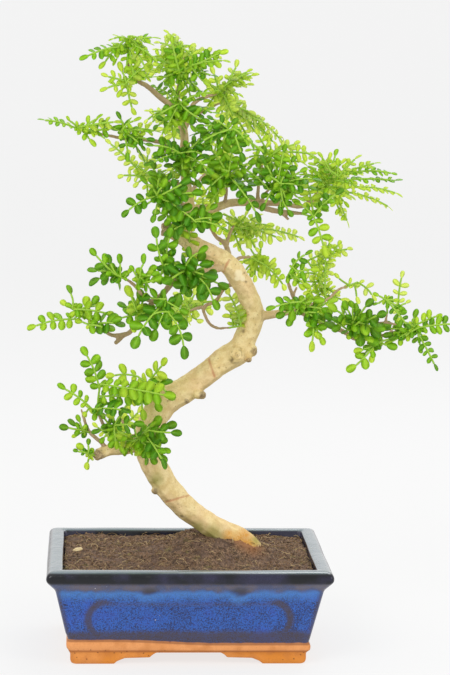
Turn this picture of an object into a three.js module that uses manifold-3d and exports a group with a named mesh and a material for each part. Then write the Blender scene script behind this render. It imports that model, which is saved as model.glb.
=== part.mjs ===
// Japanese pepper bonsai in its glazed pot.
// Millimetres, +Z up. The pot's long front faces -Y and its feet stand on Z = 0.
import * as THREE from 'three';
import Module from 'manifold-3d';
import { mergeVertices } from 'three/addons/utils/BufferGeometryUtils.js';

const wasm = await Module();
wasm.setup();

// Clearance between pieces that touch
const GAP = 0.3;

// Pot: a flared rectangular tray on four bracket feet, fired in one piece
const RIM_LENGTH = 264;
const RIM_WIDTH = 190;
const CORNER_RADIUS = 4;
const CORNER_STEPS = 2;
const FLOOR_UNDERSIDE = 12.5;
const FLOOR_TOP = 20.5;
const WALL_FOOT = { inset: 19.8, z: 22.6 };
const WALL_NECK = { inset: 8.9, z: 71.4 };
const PANEL = { length: 180, height: 30, middle: 44.5, depth: 1.2, arcSteps: 7 };
const DRAIN = { x: 62, radius: 7, sides: 16 };

// The openings between the feet: how far from the middle each point of half an opening is,
// and how high
const FRONT_GAP = { bottom: 69, toe: 66, ledge: 59, step: 36, shoulder: 33.5, top: 30 };
const END_GAP = { bottom: 42, toe: 39, ledge: 35, step: 22, shoulder: 19.5, top: 17 };
const GAP_HEIGHTS = { bottom: 0, toe: 2.6, ledge: 5.5, step: 6.1, shoulder: 8.6, top: 11 };

// Sheets of plastic mesh that lie over the drain holes
const SHEET = { side: 22, thickness: 1.2, holes: 3, hole: 3.4, pitch: 5.4 };

// Soil
const SOIL_EDGE = 87;
const SOIL_TO_WALL = 0.4;
const MOUND = { x: 12, y: 0, height: 22, spreadX: 43, spreadY: 42 };
const SOIL_RIPPLE = { height: 0.7, waves: [[9, 15], [-21, 8]] };
const SOIL_RINGS = [1, 0.9, 0.74, 0.54, 0.34, 0.14];
const SOIL_STEPS_LONG = 7;
const SOIL_STEPS_SHORT = 4;

// Tree. The rows give x and z as they appear from the front in an upright plane, TREE_PLANE
// from the pot's middle, and then the depth y behind that plane, which SPREAD multiplies. The
// last number is the radius.
const TREE_PLANE = -5;
const EYE = new THREE.Vector3(-96, -2098, 601);
const TRUNK_SIDES = 11;
const TRUNK_RIPPLE = { share: 0.03, waves: [[2, 1.3], [3, -2.1]] };
const SPREAD = 1.6;
const TRUNK = [
  [72, 66, 3, 13], [66, 79, 2, 15], [58, 92, 0, 14.6], [46, 103, -1, 13.2], [33, 110, -1, 12],
  [20, 118, -2, 11.3], [9, 125.5, -2, 11.3], [-3, 135, -3, 11.6], [-15, 148, -4, 12],
  [-24, 160, -5, 12.3], [-31, 172, -6, 12.3], [-37, 186, -6, 12.2], [-39, 199, -6, 12.5],
  [-36, 212, -5, 12.5], [-29, 226, -4, 13], [-18, 239, -2, 13.3], [-4, 246, 0, 12.5],
  [10, 257.5, 2, 11.3], [22, 267, 3, 11], [35, 277, 5, 12.3], [46, 283.5, 6, 12.8],
  [52, 295, 6, 11.5], [56, 306, 6, 10.8], [59.5, 318, 6, 10.5], [56.5, 331, 5, 9.8],
  [50.5, 343.5, 3, 9.8], [43.5, 355.5, 1, 10], [34, 366.5, -1, 9.8], [19, 375.5, -3, 9],
  [4, 383, -4, 9], [-8, 392, -4, 8.5], [-18, 396.5, -4, 7.5], [-27, 398, -4, 6.2],
];

// Branches and twigs as [sides, rows], each starting inside what it grows from
const BRANCHES = [
  // leader up from the end of the trunk, and its limbs
  [7, [[-5, 388, -4, 6.5], [-8, 399, -3, 6], [-4, 412, -1, 5.5], [-2, 425, 0, 5], [-5, 440, 2, 4.8],
    [-7, 470, 4, 4.5], [-8, 490, 4, 4], [-13, 505, 3, 3.5], [-17, 512, 2, 3.2]]],
  [5, [[-15, 509, 2, 3], [-30, 520, 0, 2.8], [-42, 530, -4, 2.5], [-55, 538, -8, 2.2],
    [-60, 548, -10, 1.9], [-60, 563, -12, 1.3]]],
  [5, [[-15, 507, 3, 2.6], [-14, 525, 6, 2.2], [-10, 545, 10, 1.8], [-9, 557, 14, 1.3]]],
  [5, [[-10, 495, 4, 2.8], [-5, 503, 5, 2.5], [2, 516, 8, 2.2], [12, 521, 12, 1.9], [22, 524, 16, 1.3]]],
  [3, [[-8, 488, 4, 2.2], [-2, 500, 12, 2], [8, 507, 20, 1.7], [28, 517, 30, 1.2]]],
  [3, [[-7, 466, 4, 2], [12, 478, -8, 1.8], [20, 486, -14, 1.6], [28, 491, -20, 1.2]]],
  [5, [[-7, 468, 4, 2.4], [-20, 476, -2, 2.2], [-45, 481, -8, 2], [-60, 481, -12, 1.8],
    [-75, 484, -14, 1.6], [-99, 488, -16, 1.2]]],
  [5, [[-7, 466, 4, 3], [-18, 470, 8, 3], [-31, 475, 12, 2.7]]],
  [3, [[-5, 438, 2, 2.2], [-18, 442, 10, 1.9], [-35, 445, 18, 1.3]]],
  [3, [[-3, 418, 0, 2.2], [-12, 424, -8, 1.9], [-24, 426, -16, 1.3]]],
  [3, [[-2, 428, 1, 2.4], [4, 440, 24, 2], [14, 452, 46, 1.3]]],
  [3, [[-7, 474, 4, 2.2], [-10, 490, 24, 1.9], [-20, 502, 44, 1.3]]],
  // right-hand upper arm
  [6, [[-5, 411, -1, 5], [4, 416, 1, 4.8], [20, 418, 4, 4.3], [35, 423, 8, 4], [50, 424, 10, 3.8],
    [63, 424, 11, 3.4], [75, 423.5, 14, 3], [88, 422.5, 18, 2.6], [105, 421, 22, 2.1],
    [121, 432, 28, 1.3]]],
  [5, [[58, 422, 10, 3], [75, 417, 6, 2.8], [90, 415, 0, 2.4], [105, 414, -6, 1.6]]],
  [3, [[84, 415, 2, 1.9], [91, 408, -2, 1.4]]],
  [3, [[104, 421, 22, 1.7], [113, 429, 18, 1.5], [118, 436, 14, 1.2]]],
  [3, [[31, 420, 7, 2.2], [32, 430, 4, 1.8], [33, 440, 0, 1.3]]],
  [3, [[62, 422, 11, 2.2], [62, 438, 14, 1.8], [66, 463, 20, 1.3]]],
  [3, [[66, 422, 12, 2], [67, 430, 5, 1.7], [73, 437, -3, 1.3]]],
  // twigs behind the upper trunk
  [5, [[35, 367, 0, 3.2], [35, 377, 12, 2.8], [30, 387, 20, 2.4], [24, 391, 24, 2], [18, 400, 28, 1.7],
    [11, 412, 32, 1.3]]],
  [3, [[33, 380, 15, 2.2], [36, 394, 24, 1.8], [40, 402, 28, 1.3]]],
  [3, [[40, 361, 2, 2.4], [44, 371, 12, 2], [56, 373, 20, 1.3]]],
  // left-hand middle arm with its two twigs
  [6, [[32, 364, -2, 4], [23, 361, -8, 3.6], [5, 357, -15, 3.5], [-12, 353, -19, 3.2], [-18, 347, -21, 3],
    [-25, 338, -22, 2.8], [-33, 331, -22, 2.6], [-38, 326, -20, 2.4], [-43, 316, -16, 2.4],
    [-52, 308, -12, 2.4], [-56, 301, -10, 2.4], [-64, 298.5, -8, 2.3], [-75, 299, -6, 2],
    [-80, 304, -6, 1.8], [-90, 310, -8, 1.6], [-101, 317, -10, 1.2]]],
  [3, [[-31, 332, -22, 2.3], [-38, 331, -24, 2.1], [-45, 337, -26, 2], [-52, 345, -28, 1.8],
    [-61, 352, -30, 1.3]]],
  [5, [[-60, 300, -9, 2.4], [-66, 294, -8, 2.3], [-70, 290, -8, 2.1]]],
  [5, [[47, 347, 3, 2.6], [34, 345, 12, 2.2], [30, 341, 13, 2], [24, 331, 12, 1.9], [13, 325, 10, 1.8],
    [14, 318, 8, 1.7], [22, 307, 6, 1.6], [39, 306, 2, 1.2]]],
  [3, [[15, 326, 10, 1.8], [6, 324, 22, 1.6], [0, 322, 32, 1.2]]],
  // right-hand lower arm
  [6, [[58, 318, 6, 5], [70, 318, 5, 4.3], [84, 320, 2, 3.9], [95, 322, -1, 3.5], [102, 322, -3, 3.2],
    [113, 317, -6, 3], [130, 309, -9, 2.7], [145, 303, -11, 2.4], [158, 296, -13, 2.3],
    [175, 298, -14, 2], [190, 302, -15, 1.7], [205, 307, -16, 1.2]]],
  [3, [[101, 321, -3, 2.2], [97, 335, -10, 2], [93, 345, -14, 1.8], [90, 355, -18, 1.3]]],
  [3, [[96, 336, -11, 1.7], [100, 345, -8, 1.3]]],
  [3, [[104, 321, -3, 2.2], [111, 327, 6, 1.9], [130, 334, 16, 1.6], [138, 342, 20, 1.5],
    [147, 346, 24, 1.2]]],
  [3, [[158, 297, -13, 1.8], [172, 309, -20, 1.5], [183, 312, -24, 1.4], [195, 310, -27, 1.2]]],
  [3, [[184, 311, -24, 1.4], [186, 323, -28, 1.1]]],
  [3, [[188, 301, -15, 1.5], [193, 310, 0, 1.3], [196, 318, 10, 1.1]]],
  // gnarled stub low on the left with its twigs
  [8, [[-38, 192, -6, 7.5], [-52, 193, -11, 6.6], [-65, 190, -16, 6.3], [-75, 189, -20, 5.6],
    [-82, 186, -22, 5.2], [-88, 182, -24, 4]]],
  [3, [[-78, 188, -21, 2.6], [-80, 194, -22, 2.3], [-88, 201, -24, 2], [-95, 209, -24, 1.8],
    [-98, 218, -22, 1.6], [-101, 228, -20, 1.2]]],
  [3, [[-70, 191, -19, 2.4], [-73, 203, -26, 2], [-80, 213, -32, 1.8], [-86, 226, -34, 1.3]]],
  [3, [[-52, 195, -10, 2.4], [-56, 205, -4, 2], [-60, 213, 0, 1.7], [-66, 221, 4, 1.3]]],
  [3, [[-56, 193, -12, 2.3], [-64, 198, 4, 1.9], [-72, 200, 18, 1.3]]],
];

// Roots in the soil, with x, z and y as they are
const ROOTS = [
  [[66, 78, 0, 9], [84, 70, 8, 6], [101, 60, 18, 3]],
  [[64, 76, 4, 9], [54, 66, 26, 5.5], [42, 52, 48, 2.6]],
  [[64, 76, -4, 9], [56, 64, -26, 5.5], [46, 50, -48, 2.6]],
  [[62, 78, 0, 8.5], [32, 68, -6, 5.5], [2, 54, -12, 2.6]],
];
const ROOT_SIDES = 5;

// Knots and healed cuts that stand out of the bark, as [x, z, y, radius]
const KNOT_FACETS = { around: 6, down: 4 };
const KNOTS = [
  [-31.5, 150, -6, 3.6], [11, 242.5, -5, 5], [44, 279.5, -3, 7.5], [61.5, 286, 2, 4.6], [-38, 208, -9, 6],
];

// Leaves: winged midribs with leaflets in pairs and one at the tip. Widths and lengths that are
// under 1 are shares of the leaf or leaflet.
const BLADE = 0.75;
const RIB = { tip: 0.45, swell: 0.2 };
const PETIOLE = 0.16;
const LONG_LEAF = 54;
const PAIRS = { short: 2, long: 3 };
const LEAFLET = { angle: THREE.MathUtils.degToRad(62), root: 1.6, halfWidth: 0.42, widestAt: 0.6 };
const LEAFLET_ROOM = { length: 1.2, spare: 2, halfWidth: 0.46 };
const TIP_LEAFLET = { share: 0.32, least: 10, most: 14, widestFromTip: 0.1 };
const ARCH = 0.1;
const LIFT = 0.16;
const FACING = { front: -0.9, up: 0.3 };
const SHOOT_RADIUS = 1.25;
const SHOOT_SIDES = 4;
const SHOOT_STEP = 0.01;
const FIRST_LEAF = 0.92;
const LEAF_SPACING = 0.26;
const SWINGS = [0, -7, 7, -14, 14, -21, 21, -28, 28, -36, 36];

// Sprays as name, the green shoot's points [x, z, y], and the tips of its leaves [x, z, y],
// from the end of the shoot down
const SPRAYS = [
  ['spray_base_1', [[-86, 224, -34], [-85, 240, -36], [-80, 262, -38]],
    [[-14, 240, -46], [-99, 284, -44]]],
  ['spray_base_2', [[-85, 222, -34], [-92, 229, -38]], [[-121, 251, -44], [-66, 226, -52]]],
  ['spray_base_3', [[-92, 205, -24], [-98, 207, -28]], [[-121, 212, -34]]],
  ['spray_base_4', [[-86, 183, -24], [-93, 185, -28]], [[-112, 196, -34], [-102, 168, -22]]],
  ['spray_base_5', [[-65, 219, 4], [-60, 230, -2], [-40, 252, -20]],
    [[-14, 256, -26], [-20, 275, -24], [-28, 226, -30]]],
  ['spray_base_6', [[-54, 197, -14], [-40, 206, -26]], [[-6, 205, -34], [-20, 174, -30]]],
  ['spray_base_7', [[-74, 205, -27], [-70, 211, -36]], [[-44, 222, -46]]],
  ['spray_base_8', [[-71, 200, 17], [-77, 204, 26]], [[-46, 226, 34]]],
  ['spray_left_1', [[-99, 316, -10], [-107, 320, -12]], [[-148, 305, -20], [-114, 344, -6]]],
  ['spray_left_2', [[-89, 309, -8], [-92, 302, -14]], [[-106, 286, -22], [-66, 318, -26]]],
  ['spray_left_3', [[-59, 350, -30], [-67, 354, -33]], [[-92, 379, -40], [-97, 354, -28]]],
  ['spray_left_4', [[-51, 343, -28], [-48, 351, -34]], [[-44, 376, -38], [-22, 356, -44]]],
  ['spray_left_5', [[-45, 315, -15], [-49, 320, -25]], [[-80, 315, -30], [-46, 292, -34]]],
  ['spray_left_6', [[-24, 339, -22], [-20, 322, -33]], [[-6, 280, -38], [-44, 304, -44]]],
  ['spray_left_7', [[-17, 348, -21], [-25, 363, -30]], [[-33, 408, -34], [-52, 366, -22]]],
  ['spray_left_8', [[4, 357, -16], [-3, 362, -28]], [[20, 382, -38], [-22, 342, -44]]],
  ['spray_left_9', [[2, 323, 30], [-5, 322, 37]], [[-26, 304, 46]]],
  ['spray_left_10', [[37, 306, 2], [43, 307, 0]], [[22, 324, -18]]],
  ['spray_right_1', [[101, 324, -5], [103, 329, -14]], [[119, 288, -26], [74, 324, -20]]],
  ['spray_right_2', [[90, 353, -18], [94, 361, -21]], [[120, 380, -26], [72, 378, -26]]],
  ['spray_right_3', [[129, 333, 16], [121, 353, 24], [112, 366, 30]],
    [[152, 384, 38], [86, 380, 34], [158, 349, 40]]],
  ['spray_right_4', [[145, 345, 24], [152, 348, 26]], [[186, 344, 22]]],
  ['spray_right_5', [[150, 300, -12], [153, 311, -23]], [[186, 318, -34], [122, 322, -30]]],
  ['spray_right_6', [[176, 298, -14], [174, 291, -20]], [[154, 265, -24], [204, 284, -26]]],
  ['spray_right_7', [[186, 321, -28], [185, 329, -32]], [[156, 343, -38], [214, 330, -34]]],
  ['spray_right_8', [[203, 306, -16], [212, 307, -18]], [[251, 313, -22], [236, 268, -24], [248, 290, -4]]],
  ['spray_right_9', [[196, 316, 9], [196, 325, 15]], [[199, 362, 20], [230, 328, 22]]],
  ['spray_middle_1', [[39, 400, 28], [48, 400, 35]], [[107, 384, 44], [62, 416, 38]]],
  ['spray_middle_2', [[55, 372, 20], [62, 371, 24]], [[101, 374, 36], [90, 346, 26]]],
  ['spray_middle_3', [[-5, 404, -7], [-2, 405, -16]], [[38, 396, -22], [-34, 420, -24]]],
  ['spray_middle_4', [[12, 410, 32], [12, 415, 40]], [[32, 438, 48]]],
  ['spray_upper_1', [[103, 414, -6], [110, 412, -10]], [[126, 375, -16], [142, 404, -16]]],
  ['spray_upper_2', [[119, 431, 28], [128, 434, 33]], [[196, 432, 42], [147, 402, 36], [134, 474, 34]]],
  ['spray_upper_3', [[117, 435, 14], [126, 443, 10], [135, 448, 7]], [[190, 449, 4], [186, 416, -4]]],
  ['spray_upper_4', [[72, 436, -3], [80, 440, -12]], [[114, 442, -20], [82, 472, -16]]],
  ['spray_upper_5', [[65, 461, 20], [72, 467, 23]], [[114, 462, 28], [58, 498, 22]]],
  ['spray_upper_6', [[33, 438, 0], [34, 449, -8]], [[56, 474, -12], [66, 414, -24]]],
  ['spray_upper_7', [[27, 516, 30], [38, 514, 38]], [[86, 484, 52], [60, 530, 44]]],
  ['spray_upper_8', [[13, 451, 45], [20, 455, 53]], [[58, 446, 64], [20, 488, 66]]],
  ['spray_crown_1', [[-60, 561, -12], [-60, 570, -13]], [[-80, 588, 0], [-34, 582, -18], [-103, 556, -24]]],
  ['spray_crown_2', [[-55, 537, -8], [-61, 533, -15]], [[-90, 524, -22], [-44, 502, -8]]],
  ['spray_crown_3', [[-9, 555, 14], [-11, 563, 16]], [[-30, 590, 28], [20, 582, 20]]],
  ['spray_crown_4', [[-12, 541, 9], [-3, 548, -1]], [[38, 556, -10]]],
  ['spray_crown_5', [[20, 524, 16], [29, 529, 18]], [[58, 544, 24], [54, 504, 28]]],
  ['spray_crown_6', [[-13, 507, 2], [-12, 513, -9]], [[22, 532, -22], [-36, 540, -22]]],
  ['spray_crown_7', [[27, 490, -20], [34, 491, -25]], [[66, 478, -30], [34, 518, -34]]],
  ['spray_crown_8', [[-97, 487, -16], [-105, 490, -17]],
    [[-141, 499, -24], [-78, 508, -24], [-86, 468, -22]]],
  ['spray_crown_9', [[-59, 481, -12], [-63, 487, -18]], [[-34, 502, -26], [-70, 454, -26]]],
  ['spray_crown_10', [[-34, 444, 18], [-42, 447, 23]], [[-82, 480, 30]]],
  ['spray_crown_11', [[-23, 425, -16], [-30, 427, -20]], [[-66, 414, -28], [-44, 458, -28]]],
  ['spray_crown_12', [[-8, 466, 1], [-10, 468, -11]], [[-42, 462, -24], [16, 442, -28]]],
  ['spray_crown_13', [[-19, 501, 43], [-25, 506, 51]], [[-64, 512, 60], [-14, 544, 64]]],
];

const COLOURS = {
  glaze: { color: 0x2f5fae, roughness: 0.2, metalness: 0 },
  plastic: { color: 0x2b2d2b, roughness: 0.7, metalness: 0 },
  soil: { color: 0x5f4632, roughness: 0.95, metalness: 0 },
  bark: { color: 0xd9bd88, roughness: 0.75, metalness: 0 },
  leaf: { color: 0x4aa51c, roughness: 0.45, metalness: 0 },
};

// Turns a closed geometry into a solid that can be joined or cut.
function solidOf(geometry) {
  geometry.deleteAttribute('normal');
  geometry.deleteAttribute('uv');
  const merged = mergeVertices(geometry);
  return new wasm.Manifold(new wasm.Mesh({
    numProp: 3,
    vertProperties: Float32Array.from(merged.attributes.position.array),
    triVerts: Uint32Array.from(merged.index.array),
  }));
}

function meshOf(name, solid, look) {
  const { vertProperties, triVerts } = solid.getMesh();
  const geometry = new THREE.BufferGeometry();
  geometry.setAttribute('position', new THREE.BufferAttribute(vertProperties, 3));
  geometry.setIndex(new THREE.BufferAttribute(triVerts, 1));
  geometry.computeVertexNormals();
  const mesh = new THREE.Mesh(geometry, new THREE.MeshStandardMaterial(look));
  mesh.name = name;
  return mesh;
}

function joined(solids) {
  return solids.reduce((whole, solid) => whole.add(solid));
}

// A closed skin over a row of rings with equal numbers of points, flat at both ends.
// Each ring runs anticlockwise seen from the end that the row leads to.
function loft(rings) {
  const count = rings[0].length;
  const points = rings.flat().flatMap((point) => [point.x, point.y, point.z]);
  const faces = [];
  for (let ring = 0; ring + 1 < rings.length; ring += 1) {
    for (let side = 0; side < count; side += 1) {
      const here = ring * count + side;
      const next = ring * count + ((side + 1) % count);
      faces.push(here, next, here + count, next, next + count, here + count);
    }
  }
  const last = (rings.length - 1) * count;
  for (let side = 1; side + 1 < count; side += 1) {
    faces.push(0, side + 1, side, last, last + side, last + side + 1);
  }
  const geometry = new THREE.BufferGeometry();
  geometry.setAttribute('position', new THREE.Float32BufferAttribute(points, 3));
  geometry.setIndex(faces);
  return solidOf(geometry);
}

// A rounded rectangle, each straight side split into the given number of steps.
function roundedRing(halfX, halfY, z, stepsX = 1, stepsY = 1) {
  const reach = [halfX - CORNER_RADIUS, halfY - CORNER_RADIUS];
  const corners = [[1, 1], [-1, 1], [-1, -1], [1, -1]];
  const points = [];
  corners.forEach(([signX, signY], index) => {
    for (let step = 0; step <= CORNER_STEPS; step += 1) {
      const angle = (index + step / CORNER_STEPS) * Math.PI / 2;
      points.push(new THREE.Vector3(
        signX * reach[0] + CORNER_RADIUS * Math.cos(angle),
        signY * reach[1] + CORNER_RADIUS * Math.sin(angle),
        z,
      ));
    }
    const [nextX, nextY] = corners[(index + 1) % 4];
    const steps = index % 2 === 0 ? stepsX : stepsY;
    const from = points[points.length - 1].clone();
    const turn = (index + 1) * Math.PI / 2;
    const to = new THREE.Vector3(
      nextX * reach[0] + CORNER_RADIUS * Math.cos(turn),
      nextY * reach[1] + CORNER_RADIUS * Math.sin(turn),
      z,
    );
    for (let step = 1; step < steps; step += 1) {
      points.push(from.clone().lerp(to, step / steps));
    }
  });
  return points;
}

function extruded(shape, depth, curveSegments = 6) {
  return new THREE.ExtrudeGeometry(shape, { depth, curveSegments, bevelEnabled: false });
}

// The opening between two feet, seen from the front: a wide low arch with a step up to its top.
function footGap(sizes) {
  const half = [[sizes.bottom, -1]];
  for (const point of Object.keys(GAP_HEIGHTS)) {
    half.push([sizes[point], GAP_HEIGHTS[point]]);
  }
  const mirrored = half.map(([x, z]) => [-x, z]).reverse();
  const shape = new THREE.Shape([...half, ...mirrored].map(([x, z]) => new THREE.Vector2(x, z)));
  return extruded(shape, RIM_LENGTH).translate(0, 0, -RIM_LENGTH / 2).rotateX(Math.PI / 2);
}

// The long sunk panel with round ends, cut square to the leaning front wall.
function panelCut() {
  const radius = PANEL.height / 2;
  const reach = PANEL.length / 2 - radius;
  const shape = new THREE.Shape();
  shape.absarc(reach, 0, radius, -Math.PI / 2, Math.PI / 2, false);
  shape.absarc(-reach, 0, radius, Math.PI / 2, Math.PI * 1.5, false);
  const lean = Math.atan((WALL_FOOT.inset - WALL_NECK.inset) / (WALL_NECK.z - WALL_FOOT.z));
  const share = (PANEL.middle - WALL_FOOT.z) / (WALL_NECK.z - WALL_FOOT.z);
  const inset = THREE.MathUtils.lerp(WALL_FOOT.inset, WALL_NECK.inset, share);
  const frame = new THREE.Matrix4().makeBasis(
    new THREE.Vector3(1, 0, 0),
    new THREE.Vector3(0, -Math.sin(lean), Math.cos(lean)),
    new THREE.Vector3(0, -Math.cos(lean), -Math.sin(lean)),
  );
  frame.setPosition(0, inset - RIM_WIDTH / 2, PANEL.middle);
  const past = WALL_FOOT.inset;
  return extruded(shape, past, PANEL.arcSteps).translate(0, 0, -PANEL.depth).applyMatrix4(frame);
}

// Wall faces inside the pot, from the rim down to the floor, as [inset from the rim, z]
const INSIDE = [[15, 91.8], [16.2, 84], [19.2, 66], [23.8, 42], [26.6, 25], [29.5, FLOOR_TOP]];

function potSolid() {
  const profile = [
    [33, FLOOR_UNDERSIDE], [32, 0], [23.6, 0], [22.4, 4], [22.6, 10.5], [19.2, 14], [18.6, 17],
    [19.4, 19.8], [20.8, 21.2], [WALL_FOOT.inset, WALL_FOOT.z], [WALL_NECK.inset, WALL_NECK.z],
    [7.8, 74.2], [5.3, 77], [2.8, 79.9], [0.9, 82.2], [0, 85], [0.5, 88], [2.2, 90.6],
    [4.5, 92], [11, 92.5], ...INSIDE,
  ];
  const rings = profile.map(([inset, z]) => roundedRing(RIM_LENGTH / 2 - inset, RIM_WIDTH / 2 - inset, z));
  const cuts = [
    footGap(FRONT_GAP),
    footGap(END_GAP).rotateZ(Math.PI / 2),
    panelCut(),
    panelCut().rotateZ(Math.PI),
  ];
  for (const side of [-1, 1]) {
    const hole = new THREE.CylinderGeometry(DRAIN.radius, DRAIN.radius, 2 * FLOOR_TOP, DRAIN.sides);
    cuts.push(hole.rotateX(Math.PI / 2).translate(side * DRAIN.x, 0, FLOOR_TOP));
  }
  return cuts.reduce((pot, cut) => pot.subtract(solidOf(cut)), loft(rings));
}

function drainSheet(side) {
  const middle = FLOOR_TOP + GAP + SHEET.thickness / 2;
  const plate = new THREE.BoxGeometry(SHEET.side, SHEET.side, SHEET.thickness);
  let sheet = solidOf(plate.translate(side * DRAIN.x, 0, middle));
  for (let row = 0; row < SHEET.holes; row += 1) {
    for (let column = 0; column < SHEET.holes; column += 1) {
      const x = (column - (SHEET.holes - 1) / 2) * SHEET.pitch;
      const y = (row - (SHEET.holes - 1) / 2) * SHEET.pitch;
      const hole = new THREE.BoxGeometry(SHEET.hole, SHEET.hole, 2 * SHEET.thickness);
      sheet = sheet.subtract(solidOf(hole.translate(side * DRAIN.x + x, y, middle)));
    }
  }
  return sheet;
}

// Height of the soil: level at the edge, a low mound at the trunk and shallow hollows.
function soilHeight(x, y) {
  const away = ((x - MOUND.x) / MOUND.spreadX) ** 2 + ((y - MOUND.y) / MOUND.spreadY) ** 2;
  const rough = SOIL_RIPPLE.waves.reduce((sum, [a, b]) => sum + Math.sin(x / a + y / b), 0);
  return SOIL_EDGE + MOUND.height * Math.exp(-away) + SOIL_RIPPLE.height * rough;
}

function soilSolid(hollows) {
  const ring = (wall, z) => {
    const inset = wall + SOIL_TO_WALL;
    const halfX = RIM_LENGTH / 2 - inset;
    const halfY = RIM_WIDTH / 2 - inset;
    return roundedRing(halfX, halfY, z, SOIL_STEPS_LONG, SOIL_STEPS_SHORT);
  };
  const below = INSIDE.slice(1).reverse();
  const rings = below.map(([inset, z]) => ring(inset, z === FLOOR_TOP ? z + GAP : z));
  const edge = ring(INSIDE[1][0], SOIL_EDGE);
  for (const scale of SOIL_RINGS) {
    rings.push(edge.map(({ x, y }) => {
      const point = new THREE.Vector3(x * scale, y * scale, 0);
      point.z = soilHeight(point.x, point.y);
      return point;
    }));
  }
  return hollows.reduce((soil, hollow) => soil.subtract(hollow), loft(rings));
}

// Room in the underside of the soil for the sheet over a drain hole
function sheetHollow(side) {
  const width = SHEET.side + 2 * GAP;
  const height = SHEET.thickness + 3 * GAP;
  const box = new THREE.BoxGeometry(width, width, height);
  return solidOf(box.translate(side * DRAIN.x, 0, FLOOR_TOP + height / 2));
}

// A point of the tree, slid along the line of sight to its depth behind the tree's plane
function seen(x, z, y) {
  return new THREE.Vector3(x, TREE_PLANE, z).lerp(EYE, SPREAD * y / (EYE.y - TREE_PLANE));
}

// A limb of round section through rows of centre and radius, closed at both ends. The section
// is carried along without twisting.
function limb(centres, radii, sides, { grow = 0, ripple = { share: 0, waves: [] } } = {}) {
  const curve = new THREE.CatmullRomCurve3(centres, false, 'centripetal');
  const spans = centres.length - 1;
  const rings = [];
  let across = null;
  for (let index = 0; index <= spans; index += 1) {
    const t = index / spans;
    const centre = curve.getPoint(t);
    const ahead = curve.getTangent(t);
    if (!across) {
      across = new THREE.Vector3(0, 1, 0).cross(ahead);
    }
    across.addScaledVector(ahead, -across.dot(ahead)).normalize();
    const up = ahead.clone().cross(across);
    const end = index === 0 ? -grow : 0;
    centre.addScaledVector(ahead, index === spans ? grow : end);
    const ring = [];
    for (let side = 0; side < sides; side += 1) {
      const angle = side / sides * 2 * Math.PI;
      const waves = ripple.waves.map(([lobes, turn]) => Math.sin(lobes * angle + index * turn));
      const wave = waves.reduce((sum, part) => sum + part, 0);
      const reach = radii[index] * (1 + ripple.share * wave) + grow;
      ring.push(centre.clone()
        .addScaledVector(across, reach * Math.cos(angle))
        .addScaledVector(up, reach * Math.sin(angle)));
    }
    rings.push(ring);
  }
  return loft(rings);
}

// The trunk, branches, roots and knots as one piece of wood, or that shape grown by a clearance
function woodSolid(grow) {
  const place = (rows) => rows.map(([x, z, y]) => seen(x, z, y));
  const radii = (rows) => rows.map((row) => row[3]);
  const parts = [limb(place(TRUNK), radii(TRUNK), TRUNK_SIDES, { grow, ripple: TRUNK_RIPPLE })];
  for (const [sides, rows] of BRANCHES) {
    parts.push(limb(place(rows), radii(rows), sides, { grow }));
  }
  for (const rows of ROOTS) {
    const centres = rows.map(([x, z, y]) => new THREE.Vector3(x, y, z));
    parts.push(limb(centres, radii(rows), ROOT_SIDES, { grow }));
  }
  for (const [x, z, y, radius] of KNOTS) {
    const knot = new THREE.SphereGeometry(radius + grow, KNOT_FACETS.around, KNOT_FACETS.down);
    const centre = seen(x, z, y);
    parts.push(solidOf(knot.translate(centre.x, centre.y, centre.z)));
  }
  return joined(parts);
}

// One side of a leaf's outline, from the stalk to the tip, as [along, across] points.
// The rib narrows on a curve, so that no three of its points lie on one line.
function leafSide(length, pairs) {
  const rib = (u) => RIB.tip + RIB.swell * (1 - u / length) ** 2;
  const tip = THREE.MathUtils.clamp(TIP_LEAFLET.share * length, TIP_LEAFLET.least, TIP_LEAFLET.most);
  const stalk = PETIOLE * length;
  const pitch = (length - stalk - tip) / pairs;
  const reach = Math.min(tip, LEAFLET_ROOM.length * pitch + LEAFLET_ROOM.spare);
  const half = Math.min(LEAFLET.halfWidth * reach, LEAFLET_ROOM.halfWidth * pitch);
  const cos = Math.cos(LEAFLET.angle);
  const sin = Math.sin(LEAFLET.angle);
  const widest = LEAFLET.widestAt * reach;
  const side = [[0, rib(0)]];
  for (let pair = 0; pair < pairs; pair += 1) {
    const root = stalk + pair * pitch;
    side.push([root, rib(root)]);
    side.push([root + widest * cos - half * sin, widest * sin + half * cos]);
    side.push([root + reach * cos + half / 2 * sin, reach * sin - half / 2 * cos]);
    side.push([root + LEAFLET.root, rib(root + LEAFLET.root)]);
  }
  side.push([length - tip, rib(length - tip)]);
  side.push([length - TIP_LEAFLET.widestFromTip * tip, LEAFLET.halfWidth * tip]);
  return side;
}

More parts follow.
